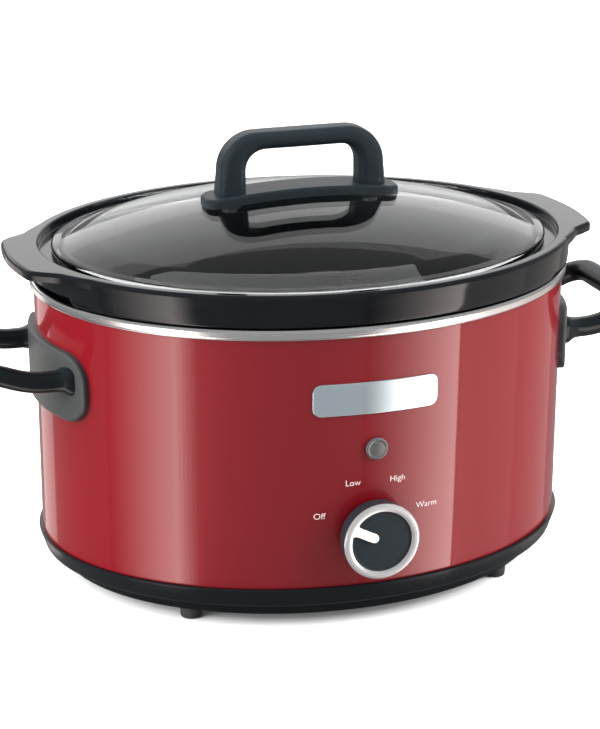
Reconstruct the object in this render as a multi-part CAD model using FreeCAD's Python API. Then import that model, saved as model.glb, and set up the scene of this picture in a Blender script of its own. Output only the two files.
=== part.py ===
import FreeCAD, Part
import math
import os

# Oval slow cooker.  Millimetres, +Z up, origin on the worktop under the middle of the oval.
# The long axis is X, the control knob faces -Y, the cord gland faces +Y.

os.makedirs("parts", exist_ok=True)
V = FreeCAD.Vector
UP = V(0, 0, 1)
TO_BACK = V(0, 1, 0)

# ---------------------------------------------------------------- driving dimensions
# Painted shell: half lengths of its oval along X and Y, at its foot and at its top edge
SHELL_FOOT = (147.8, 120.4)
SHELL_HEAD = (148.5, 125.2)
SHELL_FOOT_Z = 24.0
SHELL_HEAD_Z = 162.0
SHELL_WALL = 1.0

# Width over length of each oval that is drawn on the long axis and squashed along Y
BASE_SQUASH = 0.817
WELL_SQUASH = 0.842
BAND_SQUASH = 0.8455
POT_SQUASH = 0.8333

# Base
BASE_Z = 6.0
BASE_STEP_Z = 13.5
BASE_HALF_LENGTH = 149.9
PLATE_HALF_LENGTH = 124.8
PLATE_THICK = 1.0
PLATE_TOP_Z = BASE_Z + PLATE_THICK
VENT_WIDTH = 3.6
VENT_LENGTH = 18.0
VENT_PITCH = 12.0
VENT_ROW_Y = 70.0
FOOT_PLACE = (88.0, 78.0)
FOOT_R = 6.0
FOOT_STEM_R = 2.5
FOOT_SEAT = 3.5
POST_PLACE = (72.0, 48.0)
POST_R = 5.0
SCREW_R = 1.9

# Heating well
WELL_FLOOR_Z = 69.0
WELL_WALL = 1.0
WELL_FLOOR_R = 133.5
WELL_MOUTH_R = 140.0
FLANGE_R = 148.4
RIM_BAND_R = 150.6
RIM_BAND_TOP_Z = 168.2

# Stoneware pot
POT_RIM_R = 152.5
POT_RIM_Z = 186.2
POT_SKIRT_Z = 168.8
POT_FLOOR_Z = 80.0
POT_UNDER_Z = 73.0
POT_WALL_R = 136.6
POT_FOOT_R = 129.2
POT_SKIRT_THICK = 6.5
LEDGE_Z = 181.0
LEDGE_R = 145.5
MOUTH_R = 134.2
LUG_REACH = 164.6
LUG_HALF_WIDTH = 32.0
LUG_UNDER_Z = 181.0
RELIEF_Z = 177.4
RELIEF_HALF_WIDTH = 44.0

# Glass lid
LID_R = 138.6
LID_SEAT_Z = 181.3
LID_EDGE_Z = 185.2
LID_TOP_Z = 208.0
GLASS = 4.0
CROWN_R = 420.0
CROWN_END = 124.0

# Lid handle
GRIP_TOP_Z = 244.2
GRIP_BOTTOM_Z = 233.6
GRIP_LEG_OUT = 48.6
GRIP_LEG_IN = 32.5
GRIP_HALF_DEPTH = 8.5
GRIP_LEAN = 1.6
GRIP_SHOULDER = 21.0
GRIP_THROAT = 11.0
GRIP_PLATE_HALF_LENGTH = 55.5
GRIP_PLATE_HALF_DEPTH = 12.0
GRIP_PLATE_THICK = 5.0
GRIP_SCREW_X = 40.5
GRIP_SCREW_TOP_Z = 222.0
WASHER_DROP = 3.4   # seat of the lid screws below the middle of the glass

# Side handles
HANDLE_Z = 127.0
HANDLE_BAR = 11.0
HANDLE_LEG_Y = 40.5
HANDLE_SCREW_Y = 39.0
HANDLE_BEND_X = 163.0
HANDLE_TILT = 20.0
HANDLE_HOLE_X = 184.4
HANDLE_GRIP_WIDTH = 13.0
HANDLE_CORNER = 17.0
HANDLE_THROAT = 6.0
ESCUTCHEON_HALF_WIDTH = 52.0
ESCUTCHEON_Z = (103.5, 141.5)
ESCUTCHEON_THICK = 4.0
ESCUTCHEON_CORNER = 15.0

# Controls
KNOB_Z = 52.2
KNOB_R = 20.85
KNOB_FACE_Y = -134.0
KNOB_BACK_Y = -123.2
KNOB_RING_INNER_R = 17.5
RING_DEPTH = 5.2
POINTER_BASE = 1.6
POINTER_START = 4.8
POINTER_HALF_WIDTH = 2.3
SHAFT_R = 3.0
REST_ANGLE = 157.5
BRACKET_Y = -114.0
BRACKET_BACK_Y = -84.0
BRACKET_HALF_WIDTH = 18.0
BRACKET_ARM_Z = 21.5
BRACKET_TOP_Z = 66.0
BUSH_R = 4.9
SWITCH_DEPTH = 18.0
SWITCH_TAB = 5.0
SWITCH_TAB_X = 8.0
LAMP_Z = 100.6
LAMP_R = 6.0
BADGE_HALF_LENGTH = 34.2
BADGE_Z = (120.2, 137.7)
BADGE_THICK = 0.8

# Cord gland
GLAND_Z = 38.0
GLAND_BORE_R = 3.7
GLAND_END_Y = 134.0

# Heater and wiring
HEATER_Z = (76.0, 112.0)
HEATER_THICK = 2.4
HEATER_GAP = 15.0
FUSE_Y = 12.0
FUSE_Z = 64.8
FUSE_R = 2.0
FUSE_HALF_LENGTH = 11.0
TERMINAL_DROP = 6.0
TERMINAL_Y = (52.0, 66.0)
TERMINAL_PITCH = 11.0
LEAD_R = 1.3

SLIP = 0.03   # gap left between pieces that are clipped or glued together


# ---------------------------------------------------------------- helpers
def save(name, *solids):
    """Write one node, made of one or more separate solids."""
    found = [s for solid in solids for s in solid.Solids]
    for solid in found:
        if not solid.isValid() or solid.Volume <= 0:
            raise ValueError(name + " is not a valid solid")
    shape = found[0] if len(found) == 1 else Part.makeCompound(found)
    shape.exportStep("parts/" + name + ".step")
    print(name, len(found), round(shape.Volume / 1000, 2), "cm3")


def outline(start, *steps):
    """Closed face in the XZ plane: a point is a straight run, a pair is an arc through its first."""
    def at(point):
        return V(point[0], 0, point[1])

    edges = []
    here = start
    for step in steps + (start,):
        if isinstance(step[0], tuple):
            edges.append(Part.Arc(at(here), at(step[0]), at(step[1])).toShape())
            here = step[1]
        elif step != here:
            edges.append(Part.LineSegment(at(here), at(step)).toShape())
            here = step
    return Part.Face(Part.Wire(edges))


def squash_y(solid, ratio):
    matrix = FreeCAD.Matrix()
    matrix.scale(1, ratio, 1)
    return solid.transformGeometry(matrix).Solids[0]


def oval(face, ratio):
    """Turn a section about Z, then squash the round result along Y into an oval."""
    return squash_y(face.revolve(V(0, 0, 0), UP, 360), ratio)


def shell_form(grow, low=SHELL_FOOT_Z, high=SHELL_HEAD_Z):
    """The solid inside the shell's outer face, grown outwards by a distance."""
    wires = []
    for z in (low, high):
        share = (z - SHELL_FOOT_Z) / (SHELL_HEAD_Z - SHELL_FOOT_Z)
        a = SHELL_FOOT[0] + share * (SHELL_HEAD[0] - SHELL_FOOT[0]) + grow
        b = SHELL_FOOT[1] + share * (SHELL_HEAD[1] - SHELL_FOOT[1]) + grow
        wires.append(Part.Wire(Part.Ellipse(V(0, 0, z), a, b).toShape()))
    return Part.makeLoft(wires, True, True)


def rod(radius, start, end):
    return Part.makeCylinder(radius, (end - start).Length, start, end - start)


def block(low, high):
    return Part.makeBox(*[h - l for l, h in zip(low, high)], V(*low))


def rounded_panel(half_width, low, high, corner, axis, depth):
    """Rounded rectangle standing on edge, centred on Z, pushed out along X or Y from the middle."""
    def at(u, z):
        return V(0, u, z) if axis == "X" else V(u, 0, z)

    w, r = half_width, corner
    k = r * (1 - math.sqrt(0.5))
    edges = [
        Part.LineSegment(at(-w + r, low), at(w - r, low)),
        Part.Arc(at(w - r, low), at(w - k, low + k), at(w, low + r)),
        Part.LineSegment(at(w, low + r), at(w, high - r)),
        Part.Arc(at(w, high - r), at(w - k, high - k), at(w - r, high)),
        Part.LineSegment(at(w - r, high), at(-w + r, high)),
        Part.Arc(at(-w + r, high), at(-w + k, high - k), at(-w, high - r)),
        Part.LineSegment(at(-w, high - r), at(-w, low + r)),
        Part.Arc(at(-w, low + r), at(-w + k, low + k), at(-w + r, low)),
    ]
    face = Part.Face(Part.Wire([edge.toShape() for edge in edges]))
    return face.extrude(V(depth, 0, 0) if axis == "X" else V(0, depth, 0))


def soften(solid, radius, wanted):
    """Round the edges that the test picks."""
    edges = [edge for edge in solid.Edges if wanted(edge)]
    return solid.makeFillet(radius, edges)


def lead(points, radius=LEAD_R):
    """Insulated lead: straight runs joined by tangent arcs."""
    points = [V(*p) for p in points]
    edges = []
    here = points[0]
    for before, corner, after in zip(points, points[1:], points[2:]):
        way_in = (corner - before).normalize()
        way_out = (after - corner).normalize()
        half_turn = way_in.getAngle(way_out) / 2
        run = min((corner - before).Length, (after - corner).Length) * 0.45
        bend = run / math.tan(half_turn)
        start = corner - way_in * run
        end = corner + way_out * run
        inward = (way_out - way_in).normalize()
        middle = corner + inward * (bend / math.cos(half_turn) - bend)
        edges.append(Part.LineSegment(here, start).toShape())
        edges.append(Part.Arc(start, middle, end).toShape())
        here = end
    edges.append(Part.LineSegment(here, points[-1]).toShape())
    first = (points[1] - points[0]).normalize()
    section = Part.Wire(Part.Circle(points[0], first, radius).toShape())
    return Part.Wire(edges).makePipeShell([section], True, False).Solids[0]


def four(place, make):
    """One solid at each of the four mirrored places."""
    x, y = place
    return [make(V(sx * x, sy * y, 0)) for sx in (-1, 1) for sy in (-1, 1)]


# ---------------------------------------------------------------- casing
def shell_hole(radius, z, side):
    return rod(radius, V(0, side * 100, z), V(0, side * 140, z))


def handle_axis(side_x, side_y):
    """Centre and outward direction of a handle screw, square to the shell's wall."""
    a = (SHELL_FOOT[0] + SHELL_HEAD[0]) / 2
    b = (SHELL_FOOT[1] + SHELL_HEAD[1]) / 2
    y = HANDLE_SCREW_Y
    x = a * math.sqrt(1 - (y / b) ** 2)
    way = V(side_x * x / a ** 2, side_y * y / b ** 2, 0).normalize()
    return V(side_x * x, side_y * y, HANDLE_Z), way


def outer_shell():
    shell = shell_form(0).cut(shell_form(-SHELL_WALL))
    shell = shell.cut(shell_hole(5.2, KNOB_Z, -1))
    shell = shell.cut(shell_hole(4.75, LAMP_Z, -1))
    shell = shell.cut(shell_hole(7.6, GLAND_Z, 1))
    for side_x in (-1, 1):
        for side_y in (-1, 1):
            centre, way = handle_axis(side_x, side_y)
            shell = shell.cut(rod(2.2, centre - way * 6, centre + way * 6))
    return shell


def base_ring():
    """Moulded foot of the casing: it carries the shell, then steps in and closes under it."""
    r, low, step, head = BASE_HALF_LENGTH, BASE_Z, BASE_STEP_Z, SHELL_FOOT_Z
    seat = low + FOOT_SEAT
    section = outline(
        (r - 12.9, low), (r - 12.4, step - 0.8), ((r - 12.2, step - 0.2), (r - 11.6, step)),
        (r - 4.6, step), ((r - 3.4, step + 0.5), (r - 2.7, step + 1.6)),
        (r, head - 1.0), ((r - 0.2, head - 0.3), (r - 0.8, head)),
        (r - 4.2, head), (r - 4.2, head + 3), (r - 6.2, head + 3),
        (r - 6.2, step + 3), (r - 15.6, step + 3), (r - 16.2, seat),
        (r - 35, seat), (r - 35, PLATE_TOP_Z),
        (PLATE_HALF_LENGTH + 0.2, PLATE_TOP_Z), (PLATE_HALF_LENGTH + 0.2, low))
    ring = oval(section, BASE_SQUASH)
    for hole in four(FOOT_PLACE, lambda p: rod(FOOT_STEM_R, p + UP * (low - 1), p + UP * (seat + 1))):
        ring = ring.cut(hole)
    return ring


def bottom_plate():
    """Steel service plate with two rows of vent slots."""
    low, top, r = BASE_Z, PLATE_TOP_Z, PLATE_HALF_LENGTH
    plate = oval(outline((0, low), (r, low), (r, top), (0, top)), BASE_SQUASH)
    for hole in four(POST_PLACE, lambda p: rod(2.1, p + UP * (low - 1), p + UP * (top + 1))):
        plate = plate.cut(hole)
    w, h = VENT_WIDTH / 2, VENT_LENGTH / 2
    for y in (-VENT_ROW_Y, VENT_ROW_Y):
        for step in range(-3, 4):
            x = step * VENT_PITCH
            plate = plate.cut(block((x - w, y - h, low - 1), (x + w, y + h, top + 1)))
    return plate


def foot(place):
    """Rubber foot with a barbed stem that snaps into the base."""
    seat = BASE_Z + FOOT_SEAT
    pad = outline((0, 0), (5.0, 0), ((5.6, 0.3), (5.8, 0.9)), (FOOT_R, BASE_Z),
                  (FOOT_STEM_R, BASE_Z), (FOOT_STEM_R, seat), (FOOT_STEM_R + 0.8, seat),
                  (FOOT_STEM_R - 0.1, seat + 2.5), (0, seat + 2.5))
    return pad.revolve(V(0, 0, 0), UP, 360).translated(place)


def bottom_screw(place):
    head = rod(3.6, place + UP * (BASE_Z - 1.8), place + UP * BASE_Z)
    return head.fuse(rod(SCREW_R, place + UP * BASE_Z, place + UP * (BASE_Z + 14))).removeSplitter()


def well_post(place):
    """Spacer from the service plate up to the underside of the well."""
    low = PLATE_TOP_Z
    post = rod(POST_R, place + UP * low, place + UP * (WELL_FLOOR_Z - WELL_WALL))
    return post.cut(rod(SCREW_R + SLIP, place + UP * low, place + UP * (low + 16)))


# ---------------------------------------------------------------- heating well
def well_r(z):
    """Half length of the well's inner wall at a height."""
    share = (z - WELL_FLOOR_Z) / (SHELL_HEAD_Z - WELL_FLOOR_Z)
    return WELL_FLOOR_R + share * (WELL_MOUTH_R - WELL_FLOOR_R)


def heating_well():
    t = WELL_WALL
    top = SHELL_HEAD_Z + t
    low = WELL_FLOOR_Z
    corner = 8.0
    section = outline(
        (0, low - t), (WELL_FLOOR_R - corner, low - t),
        ((WELL_FLOOR_R - 1.4, low + 2.2), (well_r(low + corner) + t, low + corner)),
        (WELL_MOUTH_R + t, SHELL_HEAD_Z - 2.5),
        ((WELL_MOUTH_R + t + 0.8, SHELL_HEAD_Z - 0.7), (WELL_MOUTH_R + t + 2.5, SHELL_HEAD_Z)),
        (FLANGE_R, SHELL_HEAD_Z), (FLANGE_R, top), (WELL_MOUTH_R + t + 2.0, top),
        ((WELL_MOUTH_R + 0.6, top - 0.9), (WELL_MOUTH_R, top - 3.0)),
        (well_r(low + corner), low + corner),
        ((WELL_FLOOR_R - 2.2, low + 2.9), (WELL_FLOOR_R - corner, low)), (0, low))
    return oval(section, WELL_SQUASH)


def rim_band():
    low = SHELL_HEAD_Z + WELL_WALL
    top = RIM_BAND_TOP_Z
    r = RIM_BAND_R
    section = outline(
        (r - 7.4, low), (r - 1.6, low), ((r - 0.3, low + 1.0), (r, (low + top) / 2)),
        ((r - 0.7, top - 0.8), (r - 2.6, top)), (r - 6.0, top),
        ((r - 7.1, top - 0.5), (r - 7.4, top - 1.6)))
    return oval(section, BAND_SQUASH)


def band_on_well(low, high, gap, thick):
    """Closed hoop on the outside of the well."""
    a, b = well_r(low) + WELL_WALL + gap, well_r(high) + WELL_WALL + gap
    return oval(outline((a, low), (a + thick, low), (b + thick, high), (b, high)), WELL_SQUASH)


def heater_band():
    hoop = band_on_well(HEATER_Z[0], HEATER_Z[1], SLIP, HEATER_THICK)
    return hoop.cut(block((-HEATER_GAP, -160, 60), (HEATER_GAP, 0, 140)))


def heater_straps():
    straps = []
    for low in (HEATER_Z[0] + 5, HEATER_Z[1] - 9):
        hoop = band_on_well(low, low + 4, SLIP + HEATER_THICK + SLIP, 0.6)
        straps.append(hoop.cut(block((-HEATER_GAP - 6, -160, 60), (HEATER_GAP + 6, 0, 140))))
    return straps


def terminal_place(side):
    """Foot of a heater terminal, under the lower edge of the heater beside its gap."""
    x = side * (HEATER_GAP + 9)
    a = well_r(HEATER_Z[0]) + WELL_WALL + SLIP + HEATER_THICK / 2
    y = -a * WELL_SQUASH * math.sqrt(1 - (x / a) ** 2)
    return V(x, y, HEATER_Z[0])


def heater_terminal(side):
    place = terminal_place(side)
    return rod(1.1, place - UP * TERMINAL_DROP, place)


def thermal_fuse():
    return rod(FUSE_R, V(-FUSE_HALF_LENGTH, FUSE_Y, FUSE_Z), V(FUSE_HALF_LENGTH, FUSE_Y, FUSE_Z))


def fuse_clip():
    """Saddle that holds the thermal fuse against the underside of the well."""
    top = WELL_FLOOR_Z - WELL_WALL
    saddle = block((-5, FUSE_Y - 5, top - 6.2), (5, FUSE_Y + 5, top))
    return saddle.cut(rod(FUSE_R + SLIP, V(-6, FUSE_Y, FUSE_Z), V(6, FUSE_Y, FUSE_Z)))


# ---------------------------------------------------------------- controls
def control_bracket():
    """Folded sheet on the service plate that holds the switch behind the shell."""
    w, y, t = BRACKET_HALF_WIDTH, BRACKET_Y, PLATE_THICK
    upright = block((-w, y - t, BRACKET_ARM_Z), (w, y, BRACKET_TOP_Z))
    arm = block((-w, y, BRACKET_ARM_Z), (w, BRACKET_BACK_Y, BRACKET_ARM_Z + t))
    leg = block((-w, BRACKET_BACK_Y - t, PLATE_TOP_Z), (w, BRACKET_BACK_Y, BRACKET_ARM_Z))
    toe = block((-w, BRACKET_BACK_Y, PLATE_TOP_Z), (w, BRACKET_BACK_Y + 12, PLATE_TOP_Z + t))
    bracket = upright.fuse([arm, leg, toe]).removeSplitter()
    return bracket.cut(rod(BUSH_R + 0.1, V(0, y - 16, KNOB_Z), V(0, y + 14, KNOB_Z)))


def rotary_switch():
    """Moulded switch with its threaded bush in front and two tabs behind."""
    front, back = BRACKET_Y, BRACKET_Y + SWITCH_DEPTH
    body = block((-15, front, KNOB_Z - 13), (15, back, KNOB_Z + 13))
    body = soften(body, 2.5, lambda edge: abs(edge.BoundBox.YLength - SWITCH_DEPTH) < 0.1)
    bush = rod(BUSH_R, V(0, front - 5, KNOB_Z), V(0, front, KNOB_Z))
    tabs = [block((x - 3, back, KNOB_Z - 1), (x + 3, back + SWITCH_TAB, KNOB_Z))
            for x in (-SWITCH_TAB_X, SWITCH_TAB_X)]
    body = body.fuse([bush] + tabs).removeSplitter()
    return body.cut(rod(SHAFT_R + 0.05, V(0, front - 6, KNOB_Z), V(0, back - 4, KNOB_Z)))


def switch_nut():
    """Hexagon nut in front of the bracket."""
    back = BRACKET_Y - PLATE_THICK
    corners = []
    for turn in range(7):
        angle = math.radians(60 * turn)
        corners.append(V(8 * math.cos(angle), back, KNOB_Z + 8 * math.sin(angle)))
    nut = Part.Face(Part.makePolygon(corners)).extrude(V(0, -3, 0))
    return nut.cut(rod(BUSH_R + 0.02, V(0, back - 4, KNOB_Z), V(0, back + 1, KNOB_Z)))


def d_shaft(radius, start_y, end_y):
    """Round shaft with a flat along its front length."""
    shaft = rod(radius, V(0, start_y, KNOB_Z), V(0, end_y, KNOB_Z))
    flat = block((-5, start_y, KNOB_Z + radius - 0.9), (5, -122.0, KNOB_Z + 5))
    return shaft.cut(flat)


def control_knob():
    """Knob body: dished cap inside the bright ring, hollow behind, with a hub for the shaft."""
    z = KNOB_Z
    body = rod(KNOB_R - 0.5, V(0, KNOB_BACK_Y, z), V(0, KNOB_FACE_Y + RING_DEPTH, z))
    cap_y = KNOB_FACE_Y + POINTER_BASE
    body = body.fuse(rod(KNOB_RING_INNER_R - SLIP, V(0, KNOB_BACK_Y, z), V(0, cap_y, z)))
    hollow = rod(KNOB_R - 2.8, V(0, KNOB_BACK_Y, z), V(0, KNOB_BACK_Y - 5.5, z))
    hub = rod(6.0, V(0, KNOB_BACK_Y, z), V(0, KNOB_BACK_Y - 5.5, z))
    body = body.cut(hollow.cut(hub))
    return body.cut(d_shaft(SHAFT_R + SLIP, KNOB_FACE_Y + 4.0, -100)).removeSplitter()


def knob_ring():
    """Bright front ring of the knob with its pointer bar."""
    z = KNOB_Z
    back, face = KNOB_FACE_Y + RING_DEPTH, KNOB_FACE_Y
    ring = rod(KNOB_R, V(0, back, z), V(0, face, z))
    ring = soften(ring, 1.2, lambda edge: edge.BoundBox.YMax < face + 0.1)
    ring = ring.cut(rod(KNOB_RING_INNER_R, V(0, back + 1, z), V(0, face - 1, z)))
    inner_x, w = POINTER_START, POINTER_HALF_WIDTH
    low, high = face + POINTER_BASE, face + 0.5
    bar = block((inner_x, high, z - w), (KNOB_RING_INNER_R + 0.6, low, z + w))
    bar = bar.fuse(rod(w, V(inner_x, low, z), V(inner_x, high, z))).removeSplitter()
    bar = bar.rotated(V(0, 0, z), TO_BACK, -REST_ANGLE)
    return ring.fuse(bar).removeSplitter()


def lamp_lens():
    y = -123.4
    flange = rod(LAMP_R, V(0, y - 1.8, LAMP_Z), V(0, y, LAMP_Z))
    flange = soften(flange, 0.9, lambda edge: edge.BoundBox.YMax < y - 1.7)
    stem = rod(4.6, V(0, y, LAMP_Z), V(0, -116.6, LAMP_Z))
    return flange.fuse(stem).cut(rod(3.0, V(0, -121.5, LAMP_Z), V(0, -110, LAMP_Z))).removeSplitter()


def neon_lamp():
    bulb = rod(2.5, V(0, -121.0, LAMP_Z), V(0, -115.6, LAMP_Z))
    return soften(bulb, 1.2, lambda edge: edge.BoundBox.YMax < -120.9)


def lamp_clip():
    clip = rod(7.0, V(0, -121.4, LAMP_Z), V(0, -120.2, LAMP_Z))
    return clip.cut(rod(4.62, V(0, -125, LAMP_Z), V(0, -110, LAMP_Z)))


def badge_plate():
    skin = shell_form(BADGE_THICK).cut(shell_form(SLIP))
    window = rounded_panel(BADGE_HALF_LENGTH, BADGE_Z[0], BADGE_Z[1], 4.5, "Y", -140)
    return skin.common(window)


# ---------------------------------------------------------------- side handles
def upright_block(near_x, far_x, half_width, corner):
    """Tall block whose two far corners are rounded in plan."""
    solid = block((near_x, -half_width, HANDLE_Z - 70), (far_x, half_width, HANDLE_Z + 70))
    return soften(solid, corner, lambda e: e.BoundBox.ZLength > 100 and e.BoundBox.XMin > far_x - 1)


def handle_loop():
    """Two legs and the grip: the side view of a bent bar, trimmed by its plan."""
    half = HANDLE_BAR / 2
    tilt = math.radians(HANDLE_TILT)
    rise, run = math.sin(tilt), math.cos(tilt)
    end = (HANDLE_HOLE_X - HANDLE_BEND_X) / run + HANDLE_GRIP_WIDTH
    tip_x, tip_z = HANDLE_BEND_X + end * run, HANDLE_Z + end * rise
    root_x = SHELL_FOOT[0] - 23
    shift = half * math.tan(tilt / 2)
    side_view = outline(
        (root_x, HANDLE_Z - half), (HANDLE_BEND_X + shift, HANDLE_Z - half),
        (tip_x + half * rise, tip_z - half * run), (tip_x - half * rise, tip_z + half * run),
        (HANDLE_BEND_X - shift, HANDLE_Z + half), (root_x, HANDLE_Z + half))
    band = side_view.extrude(V(0, 120, 0)).translated(V(0, -60, 0))
    inner, outer = HANDLE_LEG_Y - half, HANDLE_LEG_Y + half
    far_x = tip_x + half * rise
    plan = upright_block(root_x, far_x, outer, HANDLE_CORNER)
    hole = upright_block(root_x - 9, HANDLE_HOLE_X, inner, HANDLE_THROAT)
    return band.common(plan.cut(hole))


def side_handle(side):
    """Escutcheon that hugs the shell, two legs, and a grip turned slightly up."""
    panel = rounded_panel(ESCUTCHEON_HALF_WIDTH, ESCUTCHEON_Z[0], ESCUTCHEON_Z[1],
                          ESCUTCHEON_CORNER, "X", 170)
    inside = shell_form(SLIP)
    plate = shell_form(ESCUTCHEON_THICK).cut(inside).common(panel)
    handle = plate.fuse(handle_loop().cut(inside))
    for side_y in (-1, 1):
        centre, way = handle_axis(1, side_y)
        handle = handle.cut(rod(2.0, centre - way * 6, centre + way * 9.2))
    if side < 0:
        handle = handle.mirror(V(0, 0, 0), V(1, 0, 0))
    return handle


def handle_screw(side_x, side_y):
    centre, way = handle_axis(side_x, side_y)
    head = rod(3.6, centre - way * 5.4, centre - way * 3.4)
    return head.fuse(rod(1.95, centre - way * 3.4, centre + way * 9.0)).removeSplitter()


def handle_washer(side_x, side_y):
    centre, way = handle_axis(side_x, side_y)
    ring = rod(5.0, centre - way * 3.4, centre - way * 1.3)
    return ring.cut(rod(2.0, centre - way * 6, centre + way))


# ---------------------------------------------------------------- mains side
def cord_gland():
    """Grommet at the back: collar outside, flange against the shell, snap neck inside."""
    section = outline((GLAND_BORE_R, 118.0), (7.4, 118.0), (7.4, 121.5), (10.5, 121.5),
                      ((10.2, 123.2), (8.6, 123.8)), (7.0, GLAND_END_Y - 1.0),
                      ((6.7, GLAND_END_Y - 0.3), (6.0, GLAND_END_Y)), (GLAND_BORE_R, GLAND_END_Y))
    gland = section.revolve(V(0, 0, 0), UP, 360)
    gland.rotate(V(0, 0, 0), V(1, 0, 0), -90)
    return gland.translated(V(0, 0, GLAND_Z))


def terminal_block():
    """Three-way block: a wire bore right through and a screw well from above in each way."""
    front, back = TERMINAL_Y
    middle = (front + back) / 2
    low, wire_z = PLATE_TOP_Z, PLATE_TOP_Z + 6
    body = block((-17, front, low), (17, back, low + 13))
    for x in (-TERMINAL_PITCH, 0, TERMINAL_PITCH):
        body = body.cut(rod(1.6, V(x, front - 1, wire_z), V(x, back + 1, wire_z)))
        body = body.cut(rod(1.9, V(x, middle, wire_z + 2), V(x, middle, low + 14)))
    return body


def leads():
    """Insulated leads from the terminal block through fuse and switch to the heater."""
    block_x, block_y, block_z = TERMINAL_PITCH, TERMINAL_Y[0], PLATE_TOP_Z + 6
    tab_x, tab_y, tab_z = SWITCH_TAB_X, BRACKET_Y + SWITCH_DEPTH + SWITCH_TAB, KNOB_Z - 0.5
    fuse_x, fuse_y, fuse_z = FUSE_HALF_LENGTH, FUSE_Y, FUSE_Z
    left, right = terminal_place(-1) - UP * TERMINAL_DROP, terminal_place(1) - UP * TERMINAL_DROP
    return {
        "lead_block_to_fuse": [(-block_x, block_y, block_z), (-block_x, block_y - 8, block_z),
                               (-24, 34, 26), (-30, 18, 50),
                               (-fuse_x - 11, fuse_y, fuse_z), (-fuse_x, fuse_y, fuse_z)],
        "lead_fuse_to_switch": [(fuse_x, fuse_y, fuse_z), (fuse_x + 11, fuse_y, fuse_z),
                                (30, -16, 55), (22, -52, 50),
                                (tab_x, tab_y + 13, tab_z), (tab_x, tab_y, tab_z)],
        "lead_switch_to_heater": [(-tab_x, tab_y, tab_z), (-tab_x, tab_y + 9, tab_z),
                                  (-22, -80, 56), (-31, -100, 58),
                                  (left.x, left.y, 63.5), (left.x, left.y, left.z)],
        "lead_block_to_heater": [(block_x, block_y, block_z), (block_x, block_y - 10, block_z),
                                 (34, 10, 22), (46, -40, 30), (44, -84, 44), (34, -106, 56),
                                 (right.x, right.y, 62.5), (right.x, right.y, right.z)],
    }


# ---------------------------------------------------------------- stoneware pot
def lug_form(side):
    """Finger lug: a slightly crowned tip that flows back into the rim through hollow flanks."""
    def at(x, y):
        return V(side * x, y, LUG_UNDER_Z)

    tip, w = LUG_REACH, LUG_HALF_WIDTH
    root_x, root_y = 129.0, 66.0
    edges = [
        Part.Arc(at(tip - 4.2, -w + 1.4), at(tip, 0), at(tip - 4.2, w - 1.4)),
        Part.Arc(at(tip - 4.2, w - 1.4), at(tip - 5.5, w + 2.2), at(tip - 9.0, w + 4.2)),
        Part.Arc(at(tip - 9.0, w + 4.2), at(141.5, 50.0), at(root_x, root_y)),
        Part.LineSegment(at(root_x, root_y), at(root_x, -root_y)),
        Part.Arc(at(root_x, -root_y), at(141.5, -50.0), at(tip - 9.0, -w - 4.2)),
        Part.Arc(at(tip - 9.0, -w - 4.2), at(tip - 5.5, -w - 2.2), at(tip - 4.2, -w + 1.4)),
    ]
    face = Part.Face(Part.Wire([edge.toShape() for edge in edges]))
    return face.extrude(V(0, 0, POT_RIM_Z - LUG_UNDER_Z))


def crock():
    """Stoneware pot: hanging skirt outside, ledge for the lid inside the rim."""
    r, top, low = POT_RIM_R, POT_RIM_Z, POT_SKIRT_Z
    wall_r, foot_r = POT_WALL_R, POT_FOOT_R
    skirt_r = r - POT_SKIRT_THICK
    solid = oval(outline(
        (0, POT_UNDER_Z), (foot_r - 12, POT_UNDER_Z),
        ((foot_r - 3.2, POT_UNDER_Z + 3.8), (foot_r, POT_UNDER_Z + 13)), (wall_r, low),
        (r - 3.0, low), ((r - 1.4, low + 0.8), (r - 0.8, low + 2.6)),
        (r, top - 2.6), ((r - 0.8, top - 0.8), (r - 2.6, top)), (0, top)), POT_SQUASH)
    for side in (-1, 1):
        solid = solid.fuse(lug_form(side))
    relief = oval(outline((skirt_r, low - 2), (r + 20, low - 2), (r + 20, RELIEF_Z), (skirt_r, RELIEF_Z)),
                  POT_SQUASH)
    for side in (-1, 1):
        near, far = sorted((side * 100, side * 180))
        ends = block((near, -RELIEF_HALF_WIDTH, low - 5), (far, RELIEF_HALF_WIDTH, top))
        solid = solid.cut(relief.common(ends))
    hollow = oval(outline(
        (0, POT_FLOOR_Z), (112.0, POT_FLOOR_Z), ((121.0, POT_FLOOR_Z + 3.6), (125.0, POT_FLOOR_Z + 13)),
        (MOUTH_R - 1.8, LEDGE_Z - 2.2), ((MOUTH_R - 1.3, LEDGE_Z - 0.7), (MOUTH_R, LEDGE_Z)),
        (LEDGE_R, LEDGE_Z), (LEDGE_R, top - 1.4), ((LEDGE_R + 0.4, top - 0.4), (LEDGE_R + 1.4, top)),
        (LEDGE_R + 1.4, top + 5), (0, top + 5)), POT_SQUASH)
    groove = oval(outline((wall_r + 3.6, low - 1), (skirt_r, low - 1), (skirt_r, low + 6),
                          (wall_r + 3.6, low + 6)), POT_SQUASH)
    return solid.cut(hollow).cut(groove).removeSplitter()


# ---------------------------------------------------------------- lid
def crown_z(x):
    """Height of the lid's outer face over its crown."""
    return LID_TOP_Z - CROWN_R + math.sqrt(CROWN_R ** 2 - x ** 2)


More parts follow.
